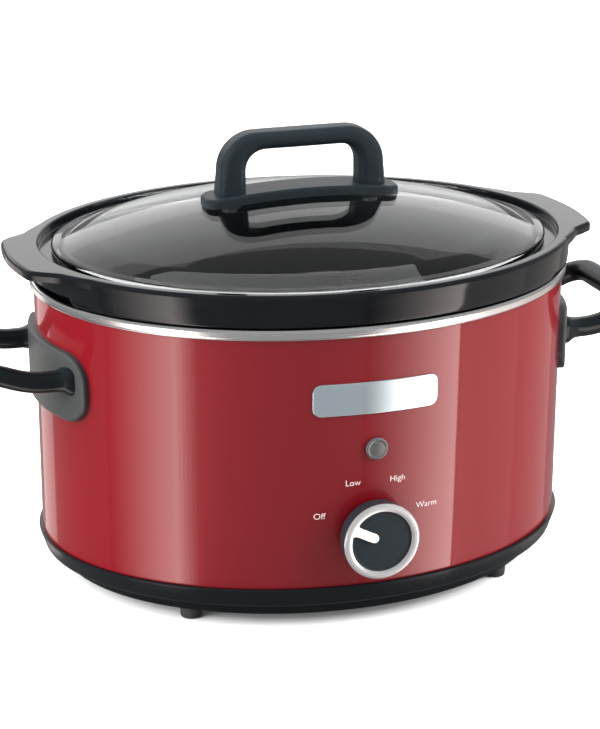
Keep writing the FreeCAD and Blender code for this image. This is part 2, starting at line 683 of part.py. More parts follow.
def lid_glass():
    end, half = CROWN_END, CROWN_END / 2
    edge = LID_EDGE_Z
    section = outline(
        (0, LID_TOP_Z), ((half, crown_z(half)), (end, crown_z(end))),
        ((LID_R - 7.1, edge + 1.1), (LID_R - 2.4, edge)), ((LID_R - 0.7, edge - 0.7), (LID_R, edge - 2)),
        ((LID_R - 0.6, LID_SEAT_Z + 0.5), (LID_R - 2, LID_SEAT_Z)), (LID_R - 6.4, LID_SEAT_Z),
        ((end + 1.4, crown_z(end) - GLASS - 1.6), (end - 3, crown_z(end) - GLASS)),
        ((half, crown_z(half) - GLASS), (0, LID_TOP_Z - GLASS)))
    glass = oval(section, POT_SQUASH)
    for side in (-1, 1):
        x = side * GRIP_SCREW_X
        glass = glass.cut(rod(2.6, V(x, 0, LID_SEAT_Z), V(x, 0, LID_TOP_Z)))
    return glass


def lid_dome(drop):
    """Everything under the lid's crown, lowered by a distance."""
    end, half, low = CROWN_END, CROWN_END / 2, 150.0
    section = outline((0, LID_TOP_Z - drop), ((half, crown_z(half) - drop), (end, crown_z(end) - drop)),
                      (end, low), (0, low))
    return oval(section, POT_SQUASH)


def lid_handle():
    """Bail grip on an oblong foot that follows the dome."""
    low, top, under = LID_TOP_Z - 4, GRIP_TOP_Z, GRIP_BOTTOM_Z
    inner, outer = GRIP_LEG_IN, GRIP_LEG_OUT
    neck = outer - GRIP_LEAN
    shoulder, throat = GRIP_SHOULDER, GRIP_THROAT
    bulge = 1 - math.sqrt(0.5)
    arch = outline(
        (-outer, low), (-neck, top - shoulder),
        ((-neck + shoulder * bulge, top - shoulder * bulge), (-neck + shoulder, top)),
        (neck - shoulder, top),
        ((neck - shoulder * bulge, top - shoulder * bulge), (neck, top - shoulder)),
        (outer, low), (inner, low), (inner, under - throat),
        ((inner - throat * bulge, under - throat * bulge), (inner - throat, under)),
        (-inner + throat, under),
        ((-inner + throat * bulge, under - throat * bulge), (-inner, under - throat)), (-inner, low))
    bail = arch.extrude(V(0, 2 * GRIP_HALF_DEPTH, 0)).translated(V(0, -GRIP_HALF_DEPTH, 0))
    bail = soften(bail, 3.6, lambda e: e.BoundBox.YLength < 0.1 and e.BoundBox.ZMax > low + 1)
    length, depth = GRIP_PLATE_HALF_LENGTH, GRIP_PLATE_HALF_DEPTH
    plate = block((-length, -depth, 190), (length, depth, 230))
    plate = soften(plate, 8.0, lambda e: e.BoundBox.ZLength > 30)
    plate = plate.common(lid_dome(-GRIP_PLATE_THICK))
    handle = bail.fuse(plate).cut(lid_dome(-SLIP))
    for side in (-1, 1):
        x = side * GRIP_SCREW_X
        handle = handle.cut(rod(2.0, V(x, 0, LID_TOP_Z - 13), V(x, 0, GRIP_SCREW_TOP_Z + 1)))
    return handle.removeSplitter()


def lid_screw(side):
    x = side * GRIP_SCREW_X
    seat = LID_TOP_Z - GLASS - WASHER_DROP
    head = rod(4.2, V(x, 0, seat - 2.2), V(x, 0, seat))
    return head.fuse(rod(1.95, V(x, 0, seat), V(x, 0, GRIP_SCREW_TOP_Z))).removeSplitter()


def lid_washer(side):
    """Washer under the glass whose top follows the dome."""
    x = side * GRIP_SCREW_X
    seat = LID_TOP_Z - GLASS - WASHER_DROP
    ring = rod(7.0, V(x, 0, seat), V(x, 0, seat + 4)).cut(rod(2.0, V(x, 0, seat - 1), V(x, 0, seat + 5)))
    return ring.common(lid_dome(GLASS + SLIP))


# ---------------------------------------------------------------- build
def main():
    save("outer_shell", outer_shell())
    save("base_ring", base_ring())
    save("bottom_plate", bottom_plate())
    save("feet", *four(FOOT_PLACE, foot))
    save("bottom_screws", *four(POST_PLACE, bottom_screw))
    save("well_posts", *four(POST_PLACE, well_post))
    save("heating_well", heating_well())
    save("rim_band", rim_band())
    save("heater_band", heater_band())
    save("heater_straps", *heater_straps())
    save("heater_terminals", heater_terminal(-1), heater_terminal(1))
    save("thermal_fuse", thermal_fuse())
    save("fuse_clip", fuse_clip())
    save("control_bracket", control_bracket())
    save("rotary_switch", rotary_switch())
    save("switch_nut", switch_nut())
    save("switch_shaft", d_shaft(SHAFT_R, KNOB_FACE_Y + 4.0, BRACKET_Y + 13))
    save("control_knob", control_knob())
    save("knob_ring", knob_ring())
    save("lamp_lens", lamp_lens())
    save("lamp_clip", lamp_clip())
    save("neon_lamp", neon_lamp())
    save("badge_plate", badge_plate())
    save("side_handle_right", side_handle(1))
    save("side_handle_left", side_handle(-1))
    corners = [(sx, sy) for sx in (-1, 1) for sy in (-1, 1)]
    save("handle_screws", *[handle_screw(*corner) for corner in corners])
    save("handle_washers", *[handle_washer(*corner) for corner in corners])
    save("cord_gland", cord_gland())
    save("terminal_block", terminal_block())
    for name, route in leads().items():
        save(name, lead(route))
    save("crock", crock())
    save("lid_glass", lid_glass())
    save("lid_handle", lid_handle())
    save("lid_screws", lid_screw(-1), lid_screw(1))
    save("lid_washers", lid_washer(-1), lid_washer(1))


main()
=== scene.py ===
import math

import bmesh
import bpy
from mathutils import Matrix, Vector


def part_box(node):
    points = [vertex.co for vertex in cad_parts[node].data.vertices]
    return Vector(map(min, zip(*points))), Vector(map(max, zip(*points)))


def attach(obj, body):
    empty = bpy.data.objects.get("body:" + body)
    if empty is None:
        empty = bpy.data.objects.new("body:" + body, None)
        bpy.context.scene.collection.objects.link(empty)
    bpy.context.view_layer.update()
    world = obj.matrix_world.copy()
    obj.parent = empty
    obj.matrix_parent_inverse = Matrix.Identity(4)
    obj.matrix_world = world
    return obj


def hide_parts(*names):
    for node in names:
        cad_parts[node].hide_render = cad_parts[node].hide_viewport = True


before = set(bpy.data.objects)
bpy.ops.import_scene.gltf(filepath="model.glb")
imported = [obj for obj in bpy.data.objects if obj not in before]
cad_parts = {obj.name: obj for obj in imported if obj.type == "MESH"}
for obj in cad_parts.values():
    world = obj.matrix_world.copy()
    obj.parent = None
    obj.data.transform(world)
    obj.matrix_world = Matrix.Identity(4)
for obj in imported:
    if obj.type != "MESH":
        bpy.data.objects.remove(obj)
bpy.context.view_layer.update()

bl_info = {
    "name": "Oval slow cooker",
    "version": (1, 0, 0),
    "blender": (4, 5, 0),
    "location": "3D View > Sidebar > Cooker",
    "description": "Builds the pieces and finishes of an oval slow cooker around its packed frame",
    "category": "Object",
}

MM = 0.001
TURN = 2 * math.pi
SHARP_EDGE = math.radians(40)
HOUSING, DIAL, POT, LID = "housing", "dial", "pot", "lid"

# Lowest and highest corners of the frame's own pieces
SHELL_LOW, SHELL_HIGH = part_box("outer_shell")
BAND_LOW, BAND_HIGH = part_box("rim_band")
BASE_LOW, BASE_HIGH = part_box("base_ring")
GLASS_LOW, GLASS_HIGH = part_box("lid_glass")
GRIP_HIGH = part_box("lid_handle")[1]
BADGE_LOW, BADGE_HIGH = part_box("badge_plate")
KNOB_LOW, KNOB_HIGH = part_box("knob_ring")
LENS_LOW, LENS_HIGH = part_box("lamp_lens")
GLAND_LOW, GLAND_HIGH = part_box("cord_gland")

# Each oval's width over its length; the pot's is taken at its rim, clear of the lugs
POT_RIM = 152.5
BAND_SQUASH = BAND_HIGH.y / BAND_HIGH.x
BASE_SQUASH = BASE_HIGH.y / BASE_HIGH.x
POT_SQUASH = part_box("crock")[1].y / (POT_RIM * MM)
GLASS_SQUASH = GLASS_HIGH.y / GLASS_HIGH.x

# Half length and half width of the casing, which narrows a little towards its foot
SHELL_HEAD = (SHELL_HIGH.x, SHELL_HIGH.y)
SHELL_FOOT = (SHELL_HIGH.x - 0.7 * MM, SHELL_HIGH.y - 4.8 * MM)


# ---------------- node and mesh helpers
def wire(tree, kind, inputs=None, **settings):
    """Add a node, set it up, and give each input a value or another node's socket."""
    node = tree.nodes.new(kind)
    for key, value in settings.items():
        setattr(node, key, value)
    for key, value in (inputs or {}).items():
        if isinstance(value, bpy.types.NodeSocket):
            tree.links.new(value, node.inputs[key])
        else:
            node.inputs[key].default_value = value
    return node


def calc(tree, operation, first, second=0.0):
    """Add one step of arithmetic and give its result's socket."""
    return wire(tree, "ShaderNodeMath", {0: first, 1: second}, operation=operation).outputs[0]


def rounded(corners, closed=False, steps=5):
    """Line through (r, z, radius) corners in millimetres, each rounded by its radius."""
    most = 0.49  # share of a side that one corner may take
    line = []
    for i, (r, z, radius) in enumerate(corners):
        here = Vector((r, z))
        if radius == 0:
            line.append(here)
            continue
        back = Vector(corners[i - 1][:2]) - here
        ahead = Vector(corners[(i + 1) % len(corners)][:2]) - here
        half = back.angle(ahead) / 2
        reach = min(radius / math.tan(half), back.length * most, ahead.length * most)
        middle = (back.normalized() + ahead.normalized()).normalized()
        centre = here + middle * (reach / math.cos(half))
        first = here + back.normalized() * reach - centre
        last = here + ahead.normalized() * reach - centre
        sweep = first.angle(last)
        for k in range(steps + 1):
            share = k / steps
            near, far = math.sin((1 - share) * sweep), math.sin(share * sweep)
            line.append(centre + (first * near + last * far) / math.sin(sweep))
    if closed:
        line.append(line[0])
    return [(r * MM, z * MM) for r, z in line]


def turning_tree():
    """Geometry Nodes tree that turns a line in the XZ plane about Z into an oval."""
    tree = bpy.data.node_groups.new("oval_turning", "GeometryNodeTree")
    wanted = (("Line", "Geometry"), ("Points", "Int"), ("Sections", "Int"),
              ("Foot height", "Float"), ("Head height", "Float"),
              ("Foot squash", "Float"), ("Head squash", "Float"), ("Finish", "Material"))
    for name, kind in wanted:
        tree.interface.new_socket(name=name, in_out="INPUT", socket_type="NodeSocket" + kind)
    tree.interface.new_socket(name="Mesh", in_out="OUTPUT", socket_type="NodeSocketGeometry")
    given = tree.nodes.new("NodeGroupInput").outputs
    columns = calc(tree, "ADD", given["Sections"], 1.0)
    grid = wire(tree, "GeometryNodeMeshGrid",
                {"Vertices X": columns, "Vertices Y": given["Points"]})
    index = wire(tree, "GeometryNodeInputIndex").outputs[0]
    row = calc(tree, "MODULO", index, given["Points"])
    column = calc(tree, "FLOOR", calc(tree, "DIVIDE", index, given["Points"]))
    angle = calc(tree, "DIVIDE", calc(tree, "MULTIPLY", column, TURN), given["Sections"])
    place = wire(tree, "GeometryNodeInputPosition").outputs[0]
    sample = wire(tree, "GeometryNodeSampleIndex",
                  {"Geometry": given["Line"], "Value": place, "Index": row},
                  data_type="FLOAT_VECTOR").outputs[0]
    point = wire(tree, "ShaderNodeSeparateXYZ", {0: sample})
    squash = wire(tree, "ShaderNodeMapRange",
                  {"Value": point.outputs["Z"], "From Min": given["Foot height"],
                   "From Max": given["Head height"], "To Min": given["Foot squash"],
                   "To Max": given["Head squash"]}).outputs[0]
    x = calc(tree, "MULTIPLY", point.outputs["X"], calc(tree, "COSINE", angle))
    y = calc(tree, "MULTIPLY", point.outputs["X"], calc(tree, "SINE", angle))
    oval_y = calc(tree, "MULTIPLY", y, squash)
    new = wire(tree, "ShaderNodeCombineXYZ", {"X": x, "Y": oval_y, "Z": point.outputs["Z"]})
    moved = wire(tree, "GeometryNodeSetPosition",
                 {"Geometry": grid.outputs[0], "Position": new.outputs[0]})
    seam_gap = 0.002 * MM
    closed = wire(tree, "GeometryNodeMergeByDistance",
                  {"Geometry": moved.outputs[0], "Distance": seam_gap})
    ended = wire(tree, "GeometryNodeRealizeInstances", {"Geometry": closed.outputs[0]})
    painted = wire(tree, "GeometryNodeSetMaterial",
                   {"Geometry": ended.outputs[0], "Material": given["Finish"]})
    wire(tree, "NodeGroupOutput", {0: painted.outputs[0]})
    return tree


def planting_tree():
    """Geometry Nodes tree that stands a copy of one piece on each point, in true size."""
    tree = bpy.data.node_groups.new("planting", "GeometryNodeTree")
    for name, kind in (("Places", "Geometry"), ("Piece", "Object"), ("Finish", "Material")):
        tree.interface.new_socket(name=name, in_out="INPUT", socket_type="NodeSocket" + kind)
    tree.interface.new_socket(name="Mesh", in_out="OUTPUT", socket_type="NodeSocketGeometry")
    given = tree.nodes.new("NodeGroupInput").outputs
    piece = wire(tree, "GeometryNodeObjectInfo", {"Object": given["Piece"]})
    stood = wire(tree, "GeometryNodeInstanceOnPoints",
                 {"Points": given["Places"], "Instance": piece.outputs["Geometry"]})
    ended = wire(tree, "GeometryNodeRealizeInstances", {"Geometry": stood.outputs[0]})
    painted = wire(tree, "GeometryNodeSetMaterial",
                   {"Geometry": ended.outputs[0], "Material": given["Finish"]})
    wire(tree, "NodeGroupOutput", {0: painted.outputs[0]})
    return tree


def new_piece(name, points, edges=(), faces=(), finish=None):
    """Object with a new mesh, linked to the scene."""
    mesh = bpy.data.meshes.new(name)
    mesh.from_pydata([tuple(p) for p in points], edges, faces)
    if finish:
        mesh.materials.append(finish)
    piece = bpy.data.objects.new(name, mesh)
    bpy.context.scene.collection.objects.link(piece)
    return piece


def run_tree(piece, tree, **inputs):
    """Give a piece a tree and its inputs, and keep the result as a plain mesh."""
    modifier = piece.modifiers.new(tree.name, "NODES")
    modifier.node_group = tree
    sockets = {item.name: item.identifier for item in tree.interface.items_tree}
    for name, value in inputs.items():
        modifier[sockets[name.replace("_", " ")]] = value
    return plain(piece)


def plain(piece):
    """Turn what a piece's modifiers make into its mesh."""
    bpy.context.view_layer.update()
    graph = bpy.context.evaluated_depsgraph_get()
    mesh = bpy.data.meshes.new_from_object(piece.evaluated_get(graph), depsgraph=graph)
    if not mesh.polygons:
        raise RuntimeError(piece.name + " came out empty")
    piece.modifiers.clear()
    piece.data = mesh
    mesh.name = piece.name
    return piece


def turned(name, finish, line, squash=1.0, head_squash=None, heights=(0.0, 1.0), *, sections):
    """Line of (r, z) points turned about Z into an oval.

    Its width over its length is squash, or goes from squash to head_squash between the heights.
    """
    edges = [(i, i + 1) for i in range(len(line) - 1)]
    piece = new_piece(name, [(r, 0, z) for r, z in line], edges)
    head = squash if head_squash is None else head_squash
    return run_tree(piece, TURNING, Points=len(line), Sections=sections, Foot_height=heights[0],
                    Head_height=heights[1], Foot_squash=squash, Head_squash=head, Finish=finish)


def main_oval(context, name, finish, line, squash, *tapering):
    """Large oval with the number of sides that the settings give."""
    sides = context.scene.cooker_shape.sections
    return turned(name, FINISH[finish], line, squash, *tapering, sections=sides)


def skinned(name, finish, rings, capped=False):
    """Surface through closed rings that all have the same number of points."""
    count = len(rings[0])
    points = [p for ring in rings for p in ring]
    faces = []
    for i in range(len(rings) - 1):
        for j in range(count):
            k = (j + 1) % count
            faces.append((i * count + j, i * count + k, (i + 1) * count + k, (i + 1) * count + j))
    if capped:
        last = (len(rings) - 1) * count
        faces.append(tuple(range(count)))
        faces.append(tuple(last + j for j in reversed(range(count))))
    return new_piece(name, points, (), faces, finish)


def settle(piece, body, replaced=(), place=None, parts=()):
    """Join, close, face outwards, put in place and smooth a piece, then hang it on its body."""
    merge_gap, sliver = 0.004 * MM, 0.002 * MM
    made = bmesh.new()
    made.from_mesh(piece.data)
    for part in parts:
        made.from_mesh(part.data)
        bpy.data.objects.remove(part)
    bmesh.ops.remove_doubles(made, verts=made.verts, dist=merge_gap)
    bmesh.ops.dissolve_degenerate(made, edges=made.edges, dist=sliver)
    bmesh.ops.recalc_face_normals(made, faces=made.faces)
    for face in made.faces:
        face.smooth = True
    made.to_mesh(piece.data)
    made.free()
    if place:
        piece.data.transform(place)
    piece.data.set_sharp_from_angle(angle=SHARP_EDGE)
    weighted = piece.modifiers.new("weighted", "WEIGHTED_NORMAL")
    weighted.keep_sharp = True
    plain(piece)
    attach(piece, body)
    if replaced:
        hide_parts(*replaced)


def facing(y, z, tip=90):
    """Transform that tips a piece turned about Z to face the front, or with -90 the back."""
    return Matrix.Translation((0, y, z)) @ Matrix.Rotation(math.radians(tip), 4, "X")


def shell_point(u, z, out, side):
    """Point on the casing at height z; side is -Y, +X or -X, u runs along it, out stands proud."""
    share = (z - SHELL_LOW.z) / (SHELL_HIGH.z - SHELL_LOW.z)
    a = SHELL_FOOT[0] + share * (SHELL_HEAD[0] - SHELL_FOOT[0])
    b = SHELL_FOOT[1] + share * (SHELL_HEAD[1] - SHELL_FOOT[1])
    if side == "-Y":
        x, y = u, -b * math.sqrt(1 - (u / a) ** 2)
    else:
        y = u
        x = a * math.sqrt(1 - (u / b) ** 2) * (1 if side == "+X" else -1)
    normal = Vector((x / a ** 2, y / b ** 2, 0)).normalized()
    return Vector((x, y, z)) + normal * out


def panel(name, finish, half_u, half_v, corner, thick, edge, place, per_side=28, per_corner=8):
    """Rounded oblong plate with a rounded front edge, laid on a surface by place(u, v, height).

    Its long sides have per_side spans and its corners per_corner, so it can follow a curve.
    """
    steps = 6
    levels = [(half_v * k / steps, 0.0) for k in range(steps, 0, -1)] + [(0.0, 0.0)]
    levels += [(edge * (1 - math.cos(a)), thick - edge + edge * math.sin(a))
               for a in (math.radians(15 * k) for k in range(7))]
    levels += [(edge + (half_v - edge) * k / steps, thick) for k in range(1, steps + 1)]
    rings = []
    for inset, height in levels:
        u, v = half_u - inset, half_v - inset
        r = max(corner - inset, 0.0)
        ring = []
        centres = ((u - r, v - r), (-u + r, v - r), (-u + r, -v + r), (u - r, -v + r))
        for quarter, (cu, cv) in enumerate(centres):
            for k in range(per_corner + 1):
                a = math.radians(90 * quarter + 90 * k / per_corner)
                ring.append((cu + r * math.cos(a), cv + r * math.sin(a)))
            if quarter % 2 == 0:
                way = -1 if quarter == 0 else 1
                for k in range(1, per_side):
                    ring.append((cu + way * 2 * (u - r) * k / per_side, cv - way * r))
        rings.append([place(p[0], p[1], height) for p in ring])
    return skinned(name, finish, rings)


def bar(name, finish, pairs, half_depth, corner, place, swell=None):
    """Bar through stations: a rounded rectangle between each inner and outer point.

    swell(along) gives how much thicker the bar is, all round, at a station.
    """
    roundest, spans = 0.95, 5
    rings = []
    for outer, inner in pairs:
        outer, inner, depth = Vector(outer), Vector(inner), half_depth
        if swell:
            more = swell((outer.x + inner.x) / 2)
            wider = (outer - inner).normalized() * more
            outer, inner, depth = outer + wider, inner - wider, depth + more
        across = (outer - inner).normalized()
        half, middle = (outer - inner).length / 2, (outer + inner) / 2
        r = min(corner, half * roundest, depth * roundest)
        ring = []
        corners = ((half - r, depth - r), (r - half, depth - r),
                   (r - half, r - depth), (half - r, r - depth))
        for quarter, (cp, cq) in enumerate(corners):
            for k in range(spans + 1):
                a = math.radians(90 * quarter + 90 * k / spans)
                at = middle + across * (cp + r * math.cos(a))
                ring.append(place(at.x, at.y, cq + r * math.sin(a)))
        rings.append(ring)
    return skinned(name, finish, rings, capped=True)


def arc(centre, radius, first, last, steps):
    """Points round a centre from one angle to another, both in degrees."""
    angles = [math.radians(first + (last - first) * k / steps) for k in range(steps + 1)]
    return [(centre[0] + radius * math.cos(a), centre[1] + radius * math.sin(a)) for a in angles]


def run(start, end, steps):
    """Points spaced evenly from start up to, but not at, end."""
    return [tuple(p + (q - p) * k / steps for p, q in zip(start, end)) for k in range(steps)]


# ---------------- finishes
def grainy(name, dark, light, rough, spread=0.06, scale=300.0, depth=0.02, stretch=(1, 1, 1),
           **sockets):
    """Principled finish whose colour, roughness and relief follow a grain in object space."""
    finish = bpy.data.materials.new(name)
    finish.use_nodes = True
    tree = finish.node_tree
    tree.nodes.clear()
    coords = wire(tree, "ShaderNodeTexCoord").outputs["Object"]
    mapped = wire(tree, "ShaderNodeMapping", {"Vector": coords, "Scale": stretch}).outputs[0]
    grain = wire(tree, "ShaderNodeTexNoise",
                 {"Vector": mapped, "Scale": scale, "Detail": 4.0, "Roughness": 0.6}).outputs["Fac"]
    blend = wire(tree, "ShaderNodeValToRGB", {"Fac": grain})
    for element, place, color in zip(blend.color_ramp.elements, (0.3, 0.7), (dark, light)):
        element.position = place
        element.color = (*color, 1)
    roughness = wire(tree, "ShaderNodeMapRange",
                     {"Value": grain, "From Min": 0.3, "From Max": 0.7,
                      "To Min": rough - spread, "To Max": rough + spread}).outputs[0]
    inputs = {"Base Color": blend.outputs[0], "Roughness": roughness}
    if depth:
        inputs["Normal"] = wire(tree, "ShaderNodeBump",
                                {"Height": grain, "Strength": 1.0,
                                 "Distance": depth * MM}).outputs[0]
    inputs.update({key.replace("_", " "): value for key, value in sockets.items()})
    shader = wire(tree, "ShaderNodeBsdfPrincipled", inputs)
    wire(tree, "ShaderNodeOutputMaterial", {"Surface": shader.outputs[0]})
    return finish


def shade(color, factor):
    """Colour made darker or lighter."""
    return tuple(min(1.0, c * factor) for c in color)


def red_paint(color):
    """Metallic red lacquer: fine flake under a clear coat."""
    return grainy("red_paint", shade(color, 0.93), shade(color, 1.07), 0.45, 0.04, 2600.0, 0.001,
                  Metallic=0.2, Coat_Weight=1.0, Coat_Roughness=0.05, Coat_IOR=1.36,
                  Specular_IOR_Level=0.2)


def black_glaze(color):
    """Deep black glaze with the slow ripple of fired stoneware."""
    return grainy("black_glaze", color, shade(color, 1.5), 0.1, 0.02, 28.0, 0.03,
                  Specular_IOR_Level=0.24)


def moulded(name, color, rough=0.4, depth=0.006):
    """Moulded black resin with a fine spark-eroded grain."""
    return grainy(name, color, shade(color, 1.12), rough, 0.04, 1500.0, depth,
                  Specular_IOR_Level=0.2)


def rolled_steel(name, color, rough=0.24):
    """Rolled sheet with faint lines round the body."""
    return grainy(name, shade(color, 0.94), color, rough, 0.04, 420.0, 0.0008, (0.06, 0.06, 5.0),
                  Metallic=1.0)


def plated(name, color, rough=0.16, metallic=1.0):
    """Satin plating with hardly any grain."""
    return grainy(name, shade(color, 0.97), color, rough, 0.02, 900.0, 0.0006, Metallic=metallic)


def clear_glass(name, color):
    """Tempered glass with a faint green-grey body."""
    return grainy(name, color, shade(color, 1.01), 0.015, 0.005, 12.0, 0.0, Transmission_Weight=1.0,
                  IOR=1.25)


def smoked_lens(color):
    """Smoky lamp lens."""
    return grainy("smoked_lens", color, shade(color, 1.15), 0.16, 0.03, 500.0, 0.002,
                  Transmission_Weight=0.35, IOR=1.49, Coat_Weight=0.8, Coat_Roughness=0.05)


def rubber(name, color):
    """Dull black rubber."""
    return grainy(name, color, shade(color, 1.5), 0.8, 0.08, 900.0, 0.01)


def woven_sleeve(color):
    """Glass-fibre sleeve with its fine weave."""
    return grainy("woven_sleeve", shade(color, 0.75), color, 0.8, 0.06, 1600.0, 0.03, (1, 1, 2.2))


def fired_body(name, color, rough):
    """Unglazed ceramic, mica or phenolic body."""
    return grainy(name, shade(color, 0.88), color, rough, 0.08, 520.0, 0.012)


def printed_white(color):
    """Flat ink of the printed words."""
    return grainy("printed_white", shade(color, 0.96), color, 0.5, 0.05, 900.0, 0.002)


# ---------------- settings
class CookerFinish(bpy.types.PropertyGroup):
    """Colours of the visible finishes"""

    shell: bpy.props.FloatVectorProperty(
        name="Shell", description="Lacquer on the casing", subtype="COLOR", min=0, max=1,
        default=(0.080, 0.0010, 0.0030))
    glaze: bpy.props.FloatVectorProperty(
        name="Glaze", description="Glaze on the stoneware pot", subtype="COLOR", min=0, max=1,
        default=(0.0015, 0.0018, 0.0022))
    resin: bpy.props.FloatVectorProperty(
        name="Resin", description="Moulded grips, base and knob", subtype="COLOR", min=0, max=1,
        default=(0.002, 0.0028, 0.0034))
    plating: bpy.props.FloatVectorProperty(
        name="Plating", description="Rim band, knob ring and pan", subtype="COLOR", min=0, max=1,
        default=(0.86, 0.87, 0.88))
    lettering: bpy.props.FloatVectorProperty(
        name="Lettering", description="Words printed round the knob", subtype="COLOR", min=0, max=1,
        default=(0.40, 0.32, 0.31))


class CookerShape(bpy.types.PropertyGroup):
    """Sizes that finish the pieces"""

    sections: bpy.props.IntProperty(
        name="Sections", description="Sides of each turned oval", default=288, min=48, max=512)
    letter_height: bpy.props.FloatProperty(
        name="Letter height", description="Height of the capitals round the knob", unit="LENGTH",
        default=3.3 * MM, min=1 * MM, max=8 * MM)
    letter_radius: bpy.props.FloatProperty(
        name="Letter circle", description="Distance of the words from the knob's axis",
        unit="LENGTH", default=32.4 * MM, min=25 * MM, max=45 * MM)
    grip_rounding: bpy.props.FloatProperty(
        name="Grip rounding", description="Rounding of the lid grip's edges", unit="LENGTH",
        default=5.0 * MM, min=1 * MM, max=5 * MM)


class CookerStage(bpy.types.PropertyGroup):
    """Light and camera of the plain studio"""

    distance: bpy.props.FloatProperty(
        name="Camera distance", description="From the camera to the middle of the cooker",
        unit="LENGTH", default=1.387, min=0.5, max=5.0)
    azimuth: bpy.props.FloatProperty(
        name="Azimuth", description="Turn of the camera round the cooker", subtype="ANGLE",
        default=math.radians(-18.76))
    elevation: bpy.props.FloatProperty(
        name="Elevation", description="Height angle of the camera", subtype="ANGLE",
        default=math.radians(18.09))
    lens: bpy.props.FloatProperty(
        name="Lens", description="Focal length on a 36 mm frame, in millimetres", default=121.8,
        min=20, max=300)
    floor_shade: bpy.props.FloatProperty(
        name="Floor shade", description="How pale the floor is", subtype="FACTOR", default=0.44,
        min=0, max=1)


# ---------------- casing
def make_shell(context):
    """Lacquered sheet, open at the top and the foot."""
    top, foot, wall, edge = SHELL_HEAD[0] / MM, SHELL_FOOT[0] / MM, 1, 0.25
    z0, z1 = SHELL_LOW.z / MM, SHELL_HIGH.z / MM
    line = rounded([(foot - wall, z0, 0), (foot, z0, edge), (top, z1, edge), (top - wall, z1, 0)],
                   closed=True)
    piece = main_oval(context, "casing_shell", "red_paint", line, SHELL_FOOT[1] / SHELL_FOOT[0],
                      SHELL_HEAD[1] / SHELL_HEAD[0], (SHELL_LOW.z, SHELL_HIGH.z))
    settle(piece, HOUSING, ["outer_shell"])


def make_rim_band(context):
    """Bright rolled band that closes the gap between the casing and the pot's skirt."""
    r, low, high = BAND_HIGH.x / MM, BAND_LOW.z / MM, BAND_HIGH.z / MM
    inner = r - 7.4
    line = rounded([(inner, low, 0), (r, low, 1.1), (r, high, 1.9), (inner, high, 1.2)],
                   closed=True)
    piece = main_oval(context, "bright_rim_band", "rolled_steel", line, BAND_SQUASH)
    settle(piece, HOUSING, ["rim_band"])


def make_base(context):
    """Moulded base: an under-face, a step, the lip under the casing and the inside of its wall."""
    r, low, high = BASE_HIGH.x / MM, BASE_LOW.z / MM, SHELL_LOW.z / MM
    step, wall, plate, ledge = low + 7.5, 3.0, 125.0, r - 35
    line = rounded([
        (plate, low, 0), (r - 12.9, low, 0.6), (r - 12.2, step, 0.8), (r - 3.4, step, 2.2),
        (r, high - 0.4, 1.0), (r - 0.6, high, 0.3), (r - 4.2, high, 0), (r - 4.2, high + wall, 0),
        (r - 6.2, high + wall, 0), (r - 6.2, step + wall, 0), (r - 15.6, step + wall, 0),
        (r - 16.2, low + 3.5, 0), (ledge, low + 3.5, 0), (ledge, low + 1, 0), (plate, low + 1, 0),
    ], closed=True)
    piece = main_oval(context, "base_moulding", "base_resin", line, BASE_SQUASH)
    settle(piece, HOUSING, ["base_ring"])


def planted(name, node, slot, corners, sections, z):
    """Four copies of a small turned piece, set in by its radius from the frame's own corners."""
    radius = max(corner[0] for corner in corners)
    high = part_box(node)[1]
    reach = Vector((high.x, high.y, 0)) - Vector((radius, radius, 0)) * MM
    spots = [(sx * reach.x, sy * reach.y, z) for sx in (-1, 1) for sy in (-1, 1)]
    one = turned("planted_one", FINISH[slot], rounded(corners), sections=sections)
    group = run_tree(new_piece(name, spots), PLANTING, Piece=one, Finish=FINISH[slot])
    bpy.data.objects.remove(one)
    settle(group, HOUSING, [node])


def make_feet():
    """Rubber feet and the bottom plate's screws."""
    foot = [(0, 0, 0), (2.2, 0, 0), (2.2, 1.2, 0.2), (3.0, 1.2, 0), (3.0, 0, 0.3),
            (5.8, 0, 0.9), (6.0, 6.0, 0), (0, 6.0, 0)]
    screw = [(0, 1.0, 0), (1.1, 1.0, 0), (1.5, 0.1, 0), (2.2, 0.0, 0), (3.6, 0.5, 0.5),
             (3.6, 1.8, 0.1), (1.9, 1.8, 0), (1.9, 15.8, 0), (0, 15.8, 0)]
    planted("rubber_feet", "feet", "foot_rubber", foot, 40, 0)
    planted("plate_screws", "bottom_screws", "zinc", screw, 30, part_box("bottom_screws")[0].z)


def make_badge():
    """Blank plate that follows the casing's front."""
    half_v = (BADGE_HIGH.z - BADGE_LOW.z) / 2
    middle = BADGE_LOW.z + half_v
    corner, thick, edge = 4.5 * MM, 0.8 * MM, 0.35 * MM
    piece = panel("blank_badge", FINISH["badge_metal"], BADGE_HIGH.x, half_v, corner, thick, edge,
                  lambda u, v, h: shell_point(u, middle + v, h, "-Y"))
    settle(piece, HOUSING, ["badge_plate"])


def make_lamp():
    """Domed lens in a thin collar."""
    line = rounded([(0, -0.15, 0), (3.2, -0.35, 0), (4.4, -0.55, 0.3), (4.7, -0.1, 0.15),
                    (5.2, 0.0, 0.3), (6.0, -0.5, 0.4), (6.0, -1.8, 0), (4.6, -1.8, 0),
                    (4.6, -8.6, 0), (0, -8.6, 0)])
    piece = turned("lamp_lens_dome", FINISH["smoked_lens"], line, sections=64)
    place = facing(LENS_LOW.y, (LENS_LOW.z + LENS_HIGH.z) / 2)
    settle(piece, HOUSING, ["lamp_lens"], place)


